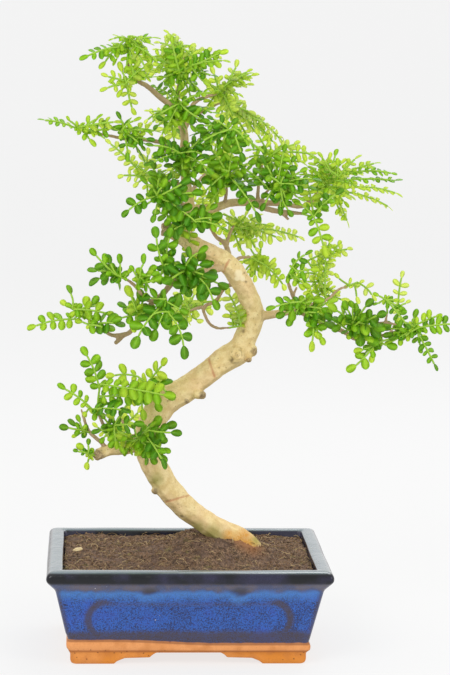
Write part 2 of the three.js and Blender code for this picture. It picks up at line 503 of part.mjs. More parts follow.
// A leaf from its base to its tip: the outline arched along the rib and lifted at both sides,
// given a thickness square to the blade. Both faces are split into the same triangles.
function leaf(base, tip, facing, thickness) {
  const along = tip.clone().sub(base);
  const length = along.length();
  along.normalize();
  const face = facing.clone().addScaledVector(along, -facing.dot(along)).normalize();
  const across = face.clone().cross(along);
  const side = leafSide(length, length > LONG_LEAF ? PAIRS.long : PAIRS.short);
  const mirrored = side.map(([u, v]) => [u, -v]);
  const outline = [...mirrored, ...side.reverse()].map(([u, v]) => new THREE.Vector2(u, v));
  const faces = THREE.ShapeUtils.triangulateShape(outline, []);
  const points = [];
  for (const offset of [thickness / 2, -thickness / 2]) {
    for (const { x: u, y: v } of outline) {
      const lift = 4 * ARCH * u * (1 - u / length) + LIFT * Math.abs(v) + offset;
      const point = base.clone().addScaledVector(along, u).addScaledVector(across, v);
      point.addScaledVector(face, lift);
      points.push(point.x, point.y, point.z);
    }
  }
  const count = outline.length;
  const index = [];
  for (const [a, b, c] of faces) {
    index.push(a, b, c, a + count, c + count, b + count);
  }
  for (let here = 0; here < count; here += 1) {
    const next = (here + 1) % count;
    index.push(here, here + count, next, next, here + count, next + count);
  }
  const geometry = new THREE.BufferGeometry();
  geometry.setAttribute('position', new THREE.Float32BufferAttribute(points, 3));
  geometry.setIndex(index);
  return solidOf(geometry);
}

function seededRandom(seed) {
  let state = seed;
  return () => {
    state = (state + 0x6d2b79f5) | 0;
    let mixed = Math.imul(state ^ (state >>> 15), 1 | state);
    mixed = (mixed + Math.imul(mixed ^ (mixed >>> 7), 61 | mixed)) ^ mixed;
    return ((mixed ^ (mixed >>> 14)) >>> 0) / 4294967296;
  };
}

// A shoot along its curve, starting as close to the wood as the clearance allows
function shootSolid(curve, spans, grownWood) {
  for (let start = 0; start < 1; start += SHOOT_STEP) {
    const centres = [];
    for (let span = 0; span <= spans; span += 1) {
      centres.push(curve.getPoint(THREE.MathUtils.lerp(start, 1, span / spans)));
    }
    const shoot = limb(centres, centres.map(() => SHOOT_RADIUS), SHOOT_SIDES);
    if (shoot.intersect(grownWood).isEmpty()) {
      return shoot;
    }
  }
  throw new Error('a shoot finds no clear start');
}

// The sprays grow one after another. A leaf that would cross the wood or another spray is swung
// nearer or farther at its tip until it hangs clear.
function spraySolids(wood, grownWood) {
  const random = seededRandom(7);
  const curves = SPRAYS.map(([, rows]) => new THREE.CatmullRomCurve3(
    rows.map(([x, z, y]) => seen(x, z, y)), false, 'centripetal',
  ));
  const shoots = SPRAYS.map(([, rows], own) => shootSolid(curves[own], rows.length - 1, grownWood));
  const sprays = [];
  SPRAYS.forEach(([name, , leaves], own) => {
    const others = [wood, ...sprays, ...shoots.slice(own + 1)];
    let spray = shoots[own];
    leaves.forEach(([x, z, y], number) => {
      const base = curves[own].getPoint(FIRST_LEAF - number * LEAF_SPACING);
      const facing = new THREE.Vector3(random() - 0.5, FACING.front, FACING.up + random());
      const swing = SWINGS.find((depth) => {
        const wide = leaf(base, seen(x, z, y + depth), facing, BLADE + 2 * GAP);
        return others.every((other) => other.intersect(wide).isEmpty());
      });
      if (swing === undefined) {
        throw new Error(`leaf ${number} of ${name} finds no clear place`);
      }
      spray = spray.add(leaf(base, seen(x, z, y + swing), facing, BLADE));
    });
    sprays.push(spray);
  });
  return sprays;
}

const wood = woodSolid(0);
const grownWood = woodSolid(GAP);
const group = new THREE.Group();
group.add(meshOf('pot', potSolid(), COLOURS.glaze));
for (const side of [-1, 1]) {
  group.add(meshOf(side < 0 ? 'drain_mesh_left' : 'drain_mesh_right', drainSheet(side), COLOURS.plastic));
}
group.add(meshOf('soil', soilSolid([grownWood, sheetHollow(-1), sheetHollow(1)]), COLOURS.soil));
group.add(meshOf('trunk', wood, COLOURS.bark));
spraySolids(wood, grownWood).forEach((solid, index) => {
  group.add(meshOf(SPRAYS[index][0], solid, COLOURS.leaf));
});

// The origin is under the middle of the whole tree and pot, on the surface that the feet stand on.
const middle = new THREE.Box3().setFromObject(group).getCenter(new THREE.Vector3());
group.position.set(-middle.x, -middle.y, 0);

export default group;
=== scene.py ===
import math
import random

import bmesh
import bpy
import numpy as np
from mathutils import Matrix, Quaternion, Vector, kdtree, noise


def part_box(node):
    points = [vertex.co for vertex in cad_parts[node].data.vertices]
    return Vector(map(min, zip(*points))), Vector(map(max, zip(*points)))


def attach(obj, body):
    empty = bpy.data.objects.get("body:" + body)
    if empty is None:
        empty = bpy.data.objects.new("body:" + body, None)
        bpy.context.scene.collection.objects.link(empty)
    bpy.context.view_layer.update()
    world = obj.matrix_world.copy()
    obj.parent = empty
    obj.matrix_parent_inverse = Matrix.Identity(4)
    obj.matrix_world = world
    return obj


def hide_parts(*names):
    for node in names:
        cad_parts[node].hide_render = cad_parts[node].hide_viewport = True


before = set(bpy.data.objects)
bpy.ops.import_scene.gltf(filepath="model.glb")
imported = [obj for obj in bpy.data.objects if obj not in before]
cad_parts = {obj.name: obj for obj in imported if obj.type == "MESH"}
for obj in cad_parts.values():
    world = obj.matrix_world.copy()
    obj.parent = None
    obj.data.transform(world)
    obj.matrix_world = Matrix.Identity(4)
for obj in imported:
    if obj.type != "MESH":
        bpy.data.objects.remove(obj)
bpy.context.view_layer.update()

# The pot is one piece of stoneware clay, pressed in a mould and flared towards its rim. It
# stands on four bracket feet cut out of its foot ring. Its dark blue glaze was poured over it
# and stops short of the foot, where the bare clay fired orange.
rim_length, rim_width, corner_radius = 264, 190, 4
pot_middle = sum(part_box("pot"), Vector()) / 2


def at(x, y, z):
    """A point in millimetres from the middle of the pot's foot, in metres in the frame."""
    return Vector((pot_middle.x + x / 1000, pot_middle.y + y / 1000, z / 1000))


def plan(inset, steps_long, steps_short, steps_corner=8):
    """The pot's plan at a distance in from its rim, as (x, y, side), anticlockwise."""
    reach = rim_length / 2 - inset - corner_radius, rim_width / 2 - inset - corner_radius
    points = []
    for quarter, (right, back) in enumerate([(1, 1), (-1, 1), (-1, -1), (1, -1)]):
        middle = Vector((right * reach[0], back * reach[1]))
        for step in range(steps_corner + 1):
            turn = (quarter + step / steps_corner) * math.pi / 2
            spoke = corner_radius * Vector((math.cos(turn), math.sin(turn)))
            points.append((*(middle + spoke), "corner"))
        across = Vector((-2 * right * reach[0], 0) if quarter % 2 == 0 else (0, -2 * back * reach[1]))
        side, steps = ("long", steps_long) if quarter % 2 == 0 else ("short", steps_short)
        for step in range(1, steps):
            points.append((*(middle + spoke + across * step / steps), side))
    return points


def softened(corners, spacing, passes):
    """A line through the corners in short steps, its bends rounded as clay is."""
    line = [Vector(corners[0])]
    for start, end in zip(corners, corners[1:]):
        start, end = Vector(start), Vector(end)
        count = max(1, round((end - start).length / spacing))
        line += [start.lerp(end, step / count) for step in range(1, count + 1)]
    for _ in range(passes):
        line[1:-1] = [(a + 2 * b + c) / 4 for a, b, c in zip(line, line[1:], line[2:])]
    return line


def eased(value, low, high):
    """0 at low, 1 at high and smooth between them."""
    share = min(1, max(0, (value - low) / (high - low)))
    return share * share * (3 - 2 * share)


def between(value, stops):
    """The height at a place along rows of (place, height), straight between them."""
    for (near, first), (far, last) in zip(stops, stops[1:]):
        if value <= far:
            return first + (last - first) * max(0, value - near) / (far - near)
    return stops[-1][1]


# The pot's section up the outside, over the rim and down the inside, as the distance in from the
# rim and the height
foot_wall = [(33, 12.5), (32, 1), (31, 0), (24.6, 0), (23.4, 1), (22.4, 4), (22.6, 10.5), (19.2, 14)]
bead_and_wall = [(19.2, 14), (18.5, 17), (19.3, 19.6), (20.9, 21.1), (19.9, 22.6), (8.9, 71.4)]
neck_and_rim = [(8.9, 71.4), (7.8, 74.2), (5.3, 77), (2.8, 79.9), (0.9, 82.2), (0, 85), (0.5, 88),
                (2.2, 90.6), (4.5, 92), (11, 92.5), (15, 91.8), (16.2, 84)]
inside_wall = [(16.2, 84), (19.2, 66), (23.8, 42), (26.6, 25), (29.5, 20.5)]
# The gaps between the feet, as the distance from the middle of a side and the height
front_gap = [(30, 11), (33.5, 8.6), (36, 6.1), (59, 5.5), (66, 2.6), (69, 0)]
end_gap = [(17, 11), (19.5, 8.6), (22, 6.1), (35, 5.5), (39, 2.6), (42, 0)]
foot_height, glaze_tilt = 12.5, 2.4
panel_length, panel_height, panel_middle, panel_depth = 180, 30, 44.5, 1.2
panel_zone_low, panel_zone_high = 24, 64
drain_reach, drain_radius = 62, 7


def panel_edge(x, z):
    """How far a spot on the long wall lies outside the sunk panel's outline."""
    straight = (panel_length - panel_height) / 2
    return math.hypot(max(0, abs(x) - straight), z - panel_middle) - panel_height / 2


def pot_point(x, y, z, side):
    """A spot of the pot's wall with its foot gap, panel and hand-made unevenness worked in."""
    gap = 0
    if z < foot_height and side == "long":
        gap = between(abs(x), front_gap)
    elif z < foot_height and side == "short":
        gap = between(abs(y), end_gap)
    lifted = gap + z * (1 - gap / foot_height) if z < foot_height else z
    if side == "long" and panel_zone_low < z < panel_zone_high:
        edge = panel_edge(x, z)
        lip = 0.35 * eased(edge, -0.5, 1.5) * (1 - eased(edge, 4, 8))
        sunk = panel_depth * (1 - eased(edge, -1.8, 0.8))
        y -= math.copysign(sunk - lip * eased(abs(x), 60, 85), y)
    lifted += glaze_tilt * (1 - eased(x, -60, 20)) * eased(z, 11, 14) * (1 - eased(z, 24, 32))
    uneven = eased(z, 20, 90) * noise.noise(Vector((x, y, z)) / 50)
    return at(x + 0.4 * uneven, y + 0.4 * uneven, lifted + 0.35 * uneven)


def placed(name, data):
    """A new object in the scene, with its mesh, curve, lamp or camera."""
    piece = bpy.data.objects.new(name, data)
    bpy.context.scene.collection.objects.link(piece)
    return piece


def laid_in_rings(name, rings):
    """A closed mesh over rings with equal numbers of points, flat at both ends."""
    mesh = bmesh.new()
    rows = [[mesh.verts.new(point) for point in ring] for ring in rings]
    for low, high in zip(rows, rows[1:]):
        for here in range(len(low)):
            after = (here + 1) % len(low)
            mesh.faces.new((low[here], low[after], high[after], high[here]))
    mesh.faces.new(reversed(rows[0]))
    mesh.faces.new(rows[-1])
    bmesh.ops.recalc_face_normals(mesh, faces=mesh.faces)
    data = bpy.data.meshes.new(name)
    mesh.to_mesh(data)
    mesh.free()
    data.shade_smooth()
    return placed(name, data)


def settled(piece):
    """Turns a piece with its modifiers into a plain mesh."""
    graph = bpy.context.evaluated_depsgraph_get()
    mesh = bpy.data.meshes.new_from_object(piece.evaluated_get(graph), depsgraph=graph)
    mesh.name = piece.name
    piece.modifiers.clear()
    piece.data = mesh
    return piece


pot_profile = (softened(foot_wall, 1.6, 1)[:-1] + softened(bead_and_wall, 1.3, 2)[:-1]
               + softened(neck_and_rim, 1.1, 3)[:-1] + softened(inside_wall, 7, 0))
pot = laid_in_rings("glazed_rectangular_pot", [
    [pot_point(x, y, z, side) for x, y, side in plan(inset, 150, 56)] for inset, z in pot_profile])
for side in (-1, 1):
    drill = laid_in_rings("drill", [
        [at(side * drain_reach + drain_radius * math.cos(turn * math.tau / 40),
            drain_radius * math.sin(turn * math.tau / 40), z) for turn in range(40)] for z in (5, 30)])
    bore = pot.modifiers.new("drain hole", "BOOLEAN")
    bore.object, bore.operation, bore.solver = drill, "DIFFERENCE", "EXACT"
    settled(pot)
    bpy.data.objects.remove(drill)
pot.data.set_sharp_from_angle(angle=math.radians(50))


class Wire:
    """One output of a node. Arithmetic on it adds Math nodes, and node() adds any other node."""

    def __init__(self, tree, socket=None):
        self.tree = tree
        self.socket = socket

    def node(self, kind, settings=None, inputs=None, output=0):
        """Adds a node: its settings first, then its inputs by name or place, as values or wires."""
        made = self.tree.nodes.new(kind)
        for name, value in (settings or {}).items():
            if name == "stops":
                for _ in value[2:]:
                    made.color_ramp.elements.new(0.5)
                for element, (place, colour) in zip(made.color_ramp.elements, value):
                    element.position, element.color = place, colour
            else:
                setattr(made, name, value)
        for name, value in (inputs or {}).items():
            if isinstance(value, Wire):
                self.tree.links.new(value.socket, made.inputs[name])
            else:
                made.inputs[name].default_value = value
        return Wire(self.tree, made.outputs[output] if made.outputs else None)

    def other(self, output):
        """Another output of the node that this wire comes from."""
        return Wire(self.tree, self.socket.node.outputs[output])

    def maths(self, operation, *values):
        """A Math node over the values."""
        return self.node("ShaderNodeMath", {"operation": operation}, dict(enumerate(values)))

    def __add__(self, value):
        return self.maths("ADD", self, value)

    def __radd__(self, value):
        return self.maths("ADD", value, self)

    def __sub__(self, value):
        return self.maths("SUBTRACT", self, value)

    def __rsub__(self, value):
        return self.maths("SUBTRACT", value, self)

    def __mul__(self, value):
        return self.maths("MULTIPLY", self, value)

    def __rmul__(self, value):
        return self.maths("MULTIPLY", value, self)

    def __abs__(self):
        return self.maths("ABSOLUTE", self)

    def ease(self, low, high):
        """0 where the wire is at low, 1 at high and smooth between them."""
        return self.node("ShaderNodeMapRange", {"interpolation_type": "SMOOTHSTEP"},
                         {"Value": self, "From Min": low, "From Max": high})

    def tint(self, nothing, full):
        """One colour where the wire is 0 and the other where it is 1."""
        return self.node("ShaderNodeMix", {"data_type": "RGBA"}, {0: self, 6: nothing, 7: full}, 2)


def paint(red, green, blue):
    """A colour as a paint chart gives it, 0 to 255, ready for a shader."""
    chart = [part / 255 for part in (red, green, blue)]
    return (*[part / 12.92 if part < 0.04 else ((part + 0.055) / 1.055) ** 2.4 for part in chart], 1)


def blank_finish(name):
    """A new material, a wire to build its nodes from, and the place on the piece in metres."""
    finish = bpy.data.materials.new(name)
    finish.use_nodes = True
    finish.node_tree.nodes.clear()
    sheet = Wire(finish.node_tree)
    return finish, sheet, sheet.node("ShaderNodeTexCoord", output="Object")


def grain(place, size, detail=2.0, rough=0.55):
    """Cloudy variation from 0 to 1 with spots of about the given size in millimetres."""
    return place.node("ShaderNodeTexNoise", {},
                      {"Vector": place, "Scale": 1000 / size, "Detail": detail, "Roughness": rough})


def scattered(place, apart, edge, share):
    """Round spots in cells of about apart millimetres.

    edge is where a spot ends, in cells, and share which of the cells have one, each as two limits.
    """
    cells = place.node("ShaderNodeTexVoronoi", {}, {"Vector": place, "Scale": 1000 / apart})
    return (1 - cells.ease(*edge)) * cells.other("Color").ease(*share)


def painted_over(colour, *coats):
    """A colour with coats over it in turn, each a mask from 0 to 1 and the colour where it is 1."""
    for mask, coat in coats:
        colour = mask.tint(colour, coat)
    return colour


def finished(sheet, look, height, depth, glow=None, thinness=0):
    """Ends a material in its shader. height runs from 0 to 1 over depth millimetres of relief.

    glow is the colour of the light that a thin sheet lets through, and thinness how much.
    """
    relief = sheet.node("ShaderNodeBump", {}, {"Height": height, "Distance": depth / 1000})
    shader = sheet.node("ShaderNodeBsdfPrincipled", {}, {**look, "Normal": relief})
    if glow:
        through = sheet.node("ShaderNodeBsdfTranslucent", {}, {"Color": glow})
        shader = sheet.node("ShaderNodeMixShader", {}, {0: thinness, 1: shader, 2: through})
    sheet.node("ShaderNodeOutputMaterial", {}, {"Surface": shader})


glaze_and_clay, sheet, place = blank_finish("blue glaze on orange clay")
split = sheet.node("ShaderNodeSeparateXYZ", {}, {0: place})
x = (split - pot_middle.x) * 1000
y = (split.other("Y") - pot_middle.y) * 1000
z = split.other("Z") * 1000

fine_spots = grain(place, 1.1, 3)
clouds = grain(place, 30)
drift = grain(place, 11, 1)

# The poured glaze is thin on the ring round the panel, on the corners and below the panel
(foot_inset, wall_foot), (neck_inset, wall_neck) = bead_and_wall[-2:]
wall_inset = foot_inset - (z - wall_foot) * ((foot_inset - neck_inset) / (wall_neck - wall_foot))
corner = (abs(x) + abs(y) + 2 * wall_inset - (rim_length + rim_width) / 2).ease(-7, -1)
beyond = x.maths("MAXIMUM", abs(x) - (panel_length - panel_height) / 2, 0)
rise = z - panel_middle
edge = x.maths("SQRT", beyond * beyond + rise * rise) - panel_height / 2
round_end = abs(x).ease(66, 84)
ring = edge.ease(-1.6, 1.6) * (1 - (edge - 4 * round_end).ease(0.5, 4.5)) * (0.4 + 0.55 * round_end)
below_panel = 1 - (z + 5 * clouds).ease(32, 39)
thin_places = x.maths("MAXIMUM", x.maths("MAXIMUM", ring, corner), below_panel)
thin = (fine_spots.ease(0.35, 0.75) * 0.7).tint(paint(60, 47, 50), paint(55, 56, 86))

# Under the rim a dark neck hangs down in scallops, with a pale halo below it
left_notch, right_notch = -37, 46
scallops = (7 * drift + 4 * (1 - abs(x - right_notch).ease(3, 14))
            + 3 * (1 - abs(x - left_notch).ease(3, 14)))
neck = (z + scallops + 3 * fine_spots).ease(75.5, 82)
halo = (z + scallops).ease(64, 78) * (1 - neck)
notches = 1 - x.maths("MINIMUM", abs(x - right_notch), abs(x - left_notch)).ease(2, 11)
neck_colour = painted_over(
    drift.ease(0.35, 0.65).tint(paint(50, 60, 96), paint(84, 76, 86)),
    (fine_spots.ease(0.4, 0.7) * 0.4, paint(70, 96, 150)),
    (notches * (1 - z.ease(75, 81)) * 0.8, paint(38, 34, 46)))

lip = z.ease(79, 83)
lip_colour = (clouds.ease(0.42, 0.66) * fine_spots).tint(paint(4, 7, 14), paint(54, 52, 84))
rim_breadth = 15.6
inward = x.maths("MAXIMUM", abs(x) - (rim_length / 2 - rim_breadth), abs(y) - (rim_width / 2 - rim_breadth))
inner_wall = (1 - inward.ease(-1, 0.4)) * z.ease(76, 80)
flecks = scattered(place, 9, (0.03, 0.07), (0.62, 0.64))
glaze = painted_over(
    (fine_spots + 0.25 * clouds).ease(0.5, 0.72).tint(paint(8, 24, 76), paint(30, 92, 184)),
    (clouds.ease(0.5, 0.72) * 0.3, paint(44, 48, 160)),
    (halo * 0.7, paint(70, 132, 200)),
    (thin_places * (1 - 0.3 * drift), thin),
    (neck, neck_colour),
    (lip, lip_colour),
    (inner_wall, paint(84, 82, 102)),
    # The rim's top is lightened to pale grey-blue: a painted reflection of the bright room
    (z.ease(90.5, 92) * 0.75, paint(122, 140, 148)),
    (flecks, paint(216, 214, 220)))

# Below the glaze the clay is bare, with small pits, drip stains and a dark line where the glaze ends
clay_grain = grain(place, 1.1, 4)
glaze_end = 21.2 + 3.2 * (1 - x.ease(-70, 30))
pit = scattered(place, 5, (0.08, 0.2), (0.45, 0.5))
clay = painted_over(
    clouds.ease(0.3, 0.7).tint(paint(226, 148, 76), paint(216, 134, 50)),
    (z.ease(12.5, 14.5) * 0.6, paint(236, 166, 112)),
    (drift.ease(0.42, 0.72) * 0.5, paint(196, 122, 62)),
    (clay_grain.ease(0.45, 0.8) * 0.35, paint(176, 98, 48)),
    # A dark line just under the bead: painted shade in the groove below its overhang
    ((1 - abs(z - 13.2).ease(0.3, 2)) * 0.6, paint(146, 82, 44)),
    (pit * 0.7, paint(110, 62, 36)),
    ((1 - abs(z - glaze_end + 1).ease(0.4, 1.8)) * 0.6, paint(120, 70, 48)))
glazed = (z + 1.4 * drift - glaze_end).ease(0.3, 1.1)
glaze_relief = 0.6 * clouds + 0.12 * fine_spots + lip * drift
clay_relief = 0.3 * clay_grain - 0.25 * pit
finished(sheet, {
    "Base Color": glazed.tint(clay, glaze),
    "Roughness": 0.85 - glazed * (0.68 - 0.12 * fine_spots),
    "Coat Weight": glazed * (0.45 - 0.25 * lip + 0.8 * z.ease(89.5, 91.5)),
    "Specular IOR Level": 0.3,
    "Coat Roughness": 0.06,
    "Coat IOR": 1.6,
}, glazed * glaze_relief + (1 - glazed) * clay_relief, 0.8)
pot.data.materials.clear()
pot.data.materials.append(glaze_and_clay)
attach(pot, "root")
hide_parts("pot")

# Two squares of black plastic mesh lie over the drain holes and keep the soil in. They are cut
# from a moulded sheet, and the CAD solids already have their shape.
mesh_plastic, sheet, place = blank_finish("black moulded mesh")
mould_grain = grain(place, 0.8)
dust = grain(place, 6).ease(0.5, 0.8)
finished(sheet, {
    "Base Color": (dust * 0.5).tint(paint(30, 32, 31), paint(70, 58, 46)),
    "Roughness": 0.5 + 0.3 * dust,
}, mould_grain, 0.1)
for name in ("drain_mesh_left", "drain_mesh_right"):
    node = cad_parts[name]
    node.data.materials.clear()
    node.data.materials.append(mesh_plastic)

# The soil is peat and coconut fibre, pressed in by hand up to just under the rim and heaped a
# little where the trunk comes out. Crumbs, fibres, bits of moss and one pale stone lie on it.
soil_level = 87
# Where it is heaped up: the middle's x and y, the reach along both, and the height
soil_heaps = [(12, 0, 43, 42, 22), (50, -20, 20, 12, 9), (74, -6, 12, 13, 6)]


def soil_height(x, y):
    """The soil's surface: level at the wall, heaped at the trunk, uneven all over."""
    heaped = sum(height * math.exp(-((x - middle_x) / reach_x) ** 2 - ((y - middle_y) / reach_y) ** 2)
                 for middle_x, middle_y, reach_x, reach_y, height in soil_heaps)
    rough = math.sin(x / 9 + y / 15) + math.sin(y / 8 - x / 21)
    lumps = noise.noise(Vector((x, y, 0)) / 7) + 0.6 * noise.noise(Vector((x, y, 50)) / 2.6)
    return soil_level + heaped + 0.8 * rough + 1.6 * lumps


# It follows the pot's inside wall from its bed up to its brim, both as inset and height
soil_bed, soil_brim = (29.5, 20.8), (16.6, 82)
gap_to_wall, steps_long, steps_short, rings_on_top = 0.4, 140, 90, 49
soil_rings = [[at(x, y, z) for x, y, _ in plan(inset + gap_to_wall, steps_long, steps_short)]
              for inset, z in (soil_bed, *inside_wall[3:0:-1], soil_brim)]
soil_edge = plan(soil_brim[0], steps_long, steps_short)
for ring_number in range(rings_on_top):
    scale = 1 - ring_number / rings_on_top
    soil_rings.append([at(x * scale, y * scale, soil_height(x * scale, y * scale))
                       for x, y, _ in soil_edge])
soil = laid_in_rings("potting_soil", soil_rings)


def new_tree(name, inputs):
    """An empty geometry tree with named inputs, and a wire for each of them."""
    tree = bpy.data.node_groups.new(name, "GeometryNodeTree")
    tree.interface.new_socket("Geometry", in_out="OUTPUT", socket_type="NodeSocketGeometry")
    for label, kind in {"Geometry": "Geometry", **inputs}.items():
        tree.interface.new_socket(label, in_out="INPUT", socket_type="NodeSocket" + kind)
    entry = tree.nodes.new("NodeGroupInput")
    return tree, {socket.name: Wire(tree, socket) for socket in entry.outputs if socket.name}


def joined(*parts):
    """One wire for several parts' geometry."""
    whole = parts[0].node("GeometryNodeJoinGeometry")
    for part in parts:
        whole.tree.links.new(part.socket, whole.socket.node.inputs[0])
    return whole


def grown(piece, tree, values):
    """Runs a geometry tree on a piece, with values for its named inputs, and keeps the mesh."""
    modifier = piece.modifiers.new(tree.name, "NODES")
    modifier.node_group = tree
    for socket in tree.interface.items_tree:
        if socket.in_out == "INPUT" and socket.name in values:
            modifier[socket.identifier] = values[socket.name]
    return settled(piece)


soil_tree, given = new_tree("crumbs and fibres on soil", {
    "Crumbs per square metre": "Float", "Crumb radius": "Float",
    "Fibres per square metre": "Float", "Fibre length": "Float", "Fibre radius": "Float",
    "Seed": "Int", "Finish": "Material"})
bed = given["Geometry"]
upward = bed.node("ShaderNodeSeparateXYZ", {}, {0: bed.node("GeometryNodeInputNormal")}).other("Z")
on_top = bed.node("FunctionNodeCompare", {"operation": "GREATER_THAN"}, {0: upward, 1: 0.6})


def random_number(wire, low, high, seed):
    """A number for each element, between two limits."""
    return wire.node("FunctionNodeRandomValue", {}, {2: low, 3: high, "Seed": seed}, 1)


def random_vector(wire, low, high, seed):
    """A vector for each element, between two corners."""
    return wire.node("FunctionNodeRandomValue", {"data_type": "FLOAT_VECTOR"},
                     {0: low, 1: high, "Seed": seed}, 0)


def strewn(density, seed):
    """Spots all over the top of the soil."""
    return bed.node("GeometryNodeDistributePointsOnFaces", {},
                    {"Mesh": bed, "Selection": on_top, "Density": density, "Seed": seed})


def toned(part, low, high, seed):
    """Gives each part a number that its material takes its colour from."""
    return part.node("GeometryNodeStoreNamedAttribute", {"domain": "INSTANCE"}, {
        "Geometry": part, "Name": "tone", "Value": random_number(part, low, high, seed)})


def shaken(part, scale, middle, amount):
    """Moves a part's points about, so that no two copies of it look the same."""
    push = bed.node("ShaderNodeTexNoise", {}, {"Scale": scale, "Detail": 1}, 1)
    push = bed.node("ShaderNodeVectorMath", {"operation": "SUBTRACT"}, {0: push, 1: middle})
    push = bed.node("ShaderNodeVectorMath", {"operation": "SCALE"}, {0: push, "Scale": amount})
    return bed.node("GeometryNodeSetPosition", {}, {"Geometry": part, "Offset": push})


crumb = bed.node("GeometryNodeMeshIcoSphere", {}, {"Radius": given["Crumb radius"]})
crumb_scale = bed.node("ShaderNodeCombineXYZ", {}, {
    number: random_number(bed, 0.35, 1.25, given["Seed"] + 1 + number) for number in range(3)})
crumbs = bed.node("GeometryNodeInstanceOnPoints", {}, {
    "Points": strewn(given["Crumbs per square metre"], given["Seed"]), "Instance": crumb,
    "Rotation": random_vector(bed, (0, 0, 0), (math.tau,) * 3, given["Seed"] + 4),
    "Scale": crumb_scale})
crumbs = toned(crumbs, 0.05, 1, given["Seed"] + 5)
crumbs = bed.node("GeometryNodeRealizeInstances", {}, {"Geometry": crumbs})
crumbs = shaken(crumbs, 900, (0.5, 0.5, 0.5), 0.0016)

half = given["Fibre length"] * 0.5
fibre = bed.node("GeometryNodeCurveQuadraticBezier", {}, {
    "Resolution": 6,
    "Start": bed.node("ShaderNodeCombineXYZ", {}, {0: -1 * half}),
    "Middle": bed.node("ShaderNodeCombineXYZ", {}, {1: half * 0.8, 2: half * 0.5}),
    "End": bed.node("ShaderNodeCombineXYZ", {}, {0: half})})
fibres = bed.node("GeometryNodeInstanceOnPoints", {}, {
    "Points": strewn(given["Fibres per square metre"], given["Seed"] + 6), "Instance": fibre,
    "Rotation": random_vector(bed, (-0.5, -0.25, 0), (1.2, 0.25, math.tau), given["Seed"] + 7),
    "Scale": random_number(bed, 0.35, 1.3, given["Seed"] + 8)})
fibres = toned(fibres, 2, 3, given["Seed"] + 9)
fibres = bed.node("GeometryNodeRealizeInstances", {}, {"Geometry": fibres})
fibres = shaken(fibres, 300, (0.5, 0.5, 0.4), 0.003)
strand = bed.node("GeometryNodeCurvePrimitiveCircle", {}, {
    "Resolution": 3, "Radius": given["Fibre radius"]})
fibres = bed.node("GeometryNodeCurveToMesh", {}, {
    "Curve": fibres, "Profile Curve": strand, "Fill Caps": True})
soil_whole = bed.node("GeometryNodeSetMaterial", {}, {
    "Geometry": joined(bed, crumbs, fibres), "Material": given["Finish"]})
bed.node("NodeGroupOutput", {}, {0: soil_whole})

soil_finish, sheet, place = blank_finish("peat, fibre and moss")


def field(name):
    """A number stored on the mesh."""
    return sheet.node("ShaderNodeAttribute", {"attribute_name": name}, output="Fac")


tone = field("tone")
fine_soil = grain(place, 1.2, 4, 0.7)
patches = grain(place, 14)
clods = grain(place, 4.5, 2)
moss_patches = grain(place, 16, 1).ease(0.6, 0.7) * fine_soil.ease(0.48, 0.6)
foot_x, foot_y = 56, -15
split = sheet.node("ShaderNodeSeparateXYZ", {}, {0: place})
from_foot_x = (split - pot_middle.x) * 1000 - foot_x
from_foot_y = (split.other("Y") - pot_middle.y) * 1000 - foot_y
by_foot = 1 - split.maths("SQRT", from_foot_x * from_foot_x + from_foot_y * from_foot_y).ease(4, 22)
peat = painted_over(
    fine_soil.ease(0.34, 0.66).tint(paint(40, 28, 20), paint(166, 134, 104)),
    (clods.ease(0.48, 0.62) * 0.7, paint(46, 32, 24)),
    (patches.ease(0.42, 0.62) * 0.5, paint(110, 88, 78)),
    (tone.ease(0.3, 1) * 0.55, paint(150, 116, 86)),
    (by_foot * 0.5, paint(190, 126, 68)),
    (moss_patches * 0.6, paint(132, 132, 52)))
straw = (tone - 2).tint(paint(112, 78, 46), paint(232, 204, 152))
finished(sheet, {
    "Base Color": tone.ease(1.6, 1.9).tint(peat, straw),
    "Roughness": 0.95,
}, fine_soil, 0.9)
soil = grown(soil, soil_tree, {
    "Crumbs per square metre": 80000.0, "Crumb radius": 0.0012, "Fibres per square metre": 10000.0,
    "Fibre length": 0.010, "Fibre radius": 0.00023, "Seed": 11, "Finish": soil_finish})
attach(soil, "root")
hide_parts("soil")

# One pale river stone, worn round by water, lies on the soil near the left-hand end. It was
# pressed in halfway, and nothing else holds it.
stone_x, stone_y, stone_z = -103.5, 11, 88.6
stone_length, stone_width, stone_height, stone_tilt = 10.4, 6.8, 4.2, 1.1
stone_mesh = bmesh.new()
bmesh.ops.create_icosphere(stone_mesh, subdivisions=4, radius=1)
for vert in stone_mesh.verts:
    swell = 1 + 0.16 * noise.noise(vert.co * 1.3)
    x, y, z = swell * vert.co
    vert.co = at(stone_x + stone_length / 2 * x, stone_y + stone_width / 2 * y,
                 stone_z + stone_height / 2 * z + stone_tilt * x)
stone_data = bpy.data.meshes.new("pale_stone")
stone_mesh.to_mesh(stone_data)
stone_mesh.free()
stone_data.shade_smooth()
stone = placed("pale_stone", stone_data)
stone_finish, sheet, place = blank_finish("river stone")
stone_grain = grain(place, 2.5, 3)
finished(sheet, {
    "Base Color": stone_grain.tint(paint(196, 168, 116), paint(238, 220, 176)),
    "Roughness": 0.6,
}, stone_grain, 0.2)
stone_data.materials.append(stone_finish)
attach(stone, "root")

# The tree's wood is one piece: a trunk that was cut back and bent several times, healed knots,
# a leader that grew from the last cut, side branches and their twigs. Its roots hold it in the
# soil. The rows give x and z as seen from the front, the depth behind the trunk, and the radius.
tree_plane, depth_stretch = -5, 1.6
eye = Vector((-96, -2098, 601))


def seen(x, z, y):
    """A spot of the tree, slid from its plane along the line from the eye to its depth."""
    return Vector((x, tree_plane, z)).lerp(eye, depth_stretch * y / (eye.y - tree_plane))


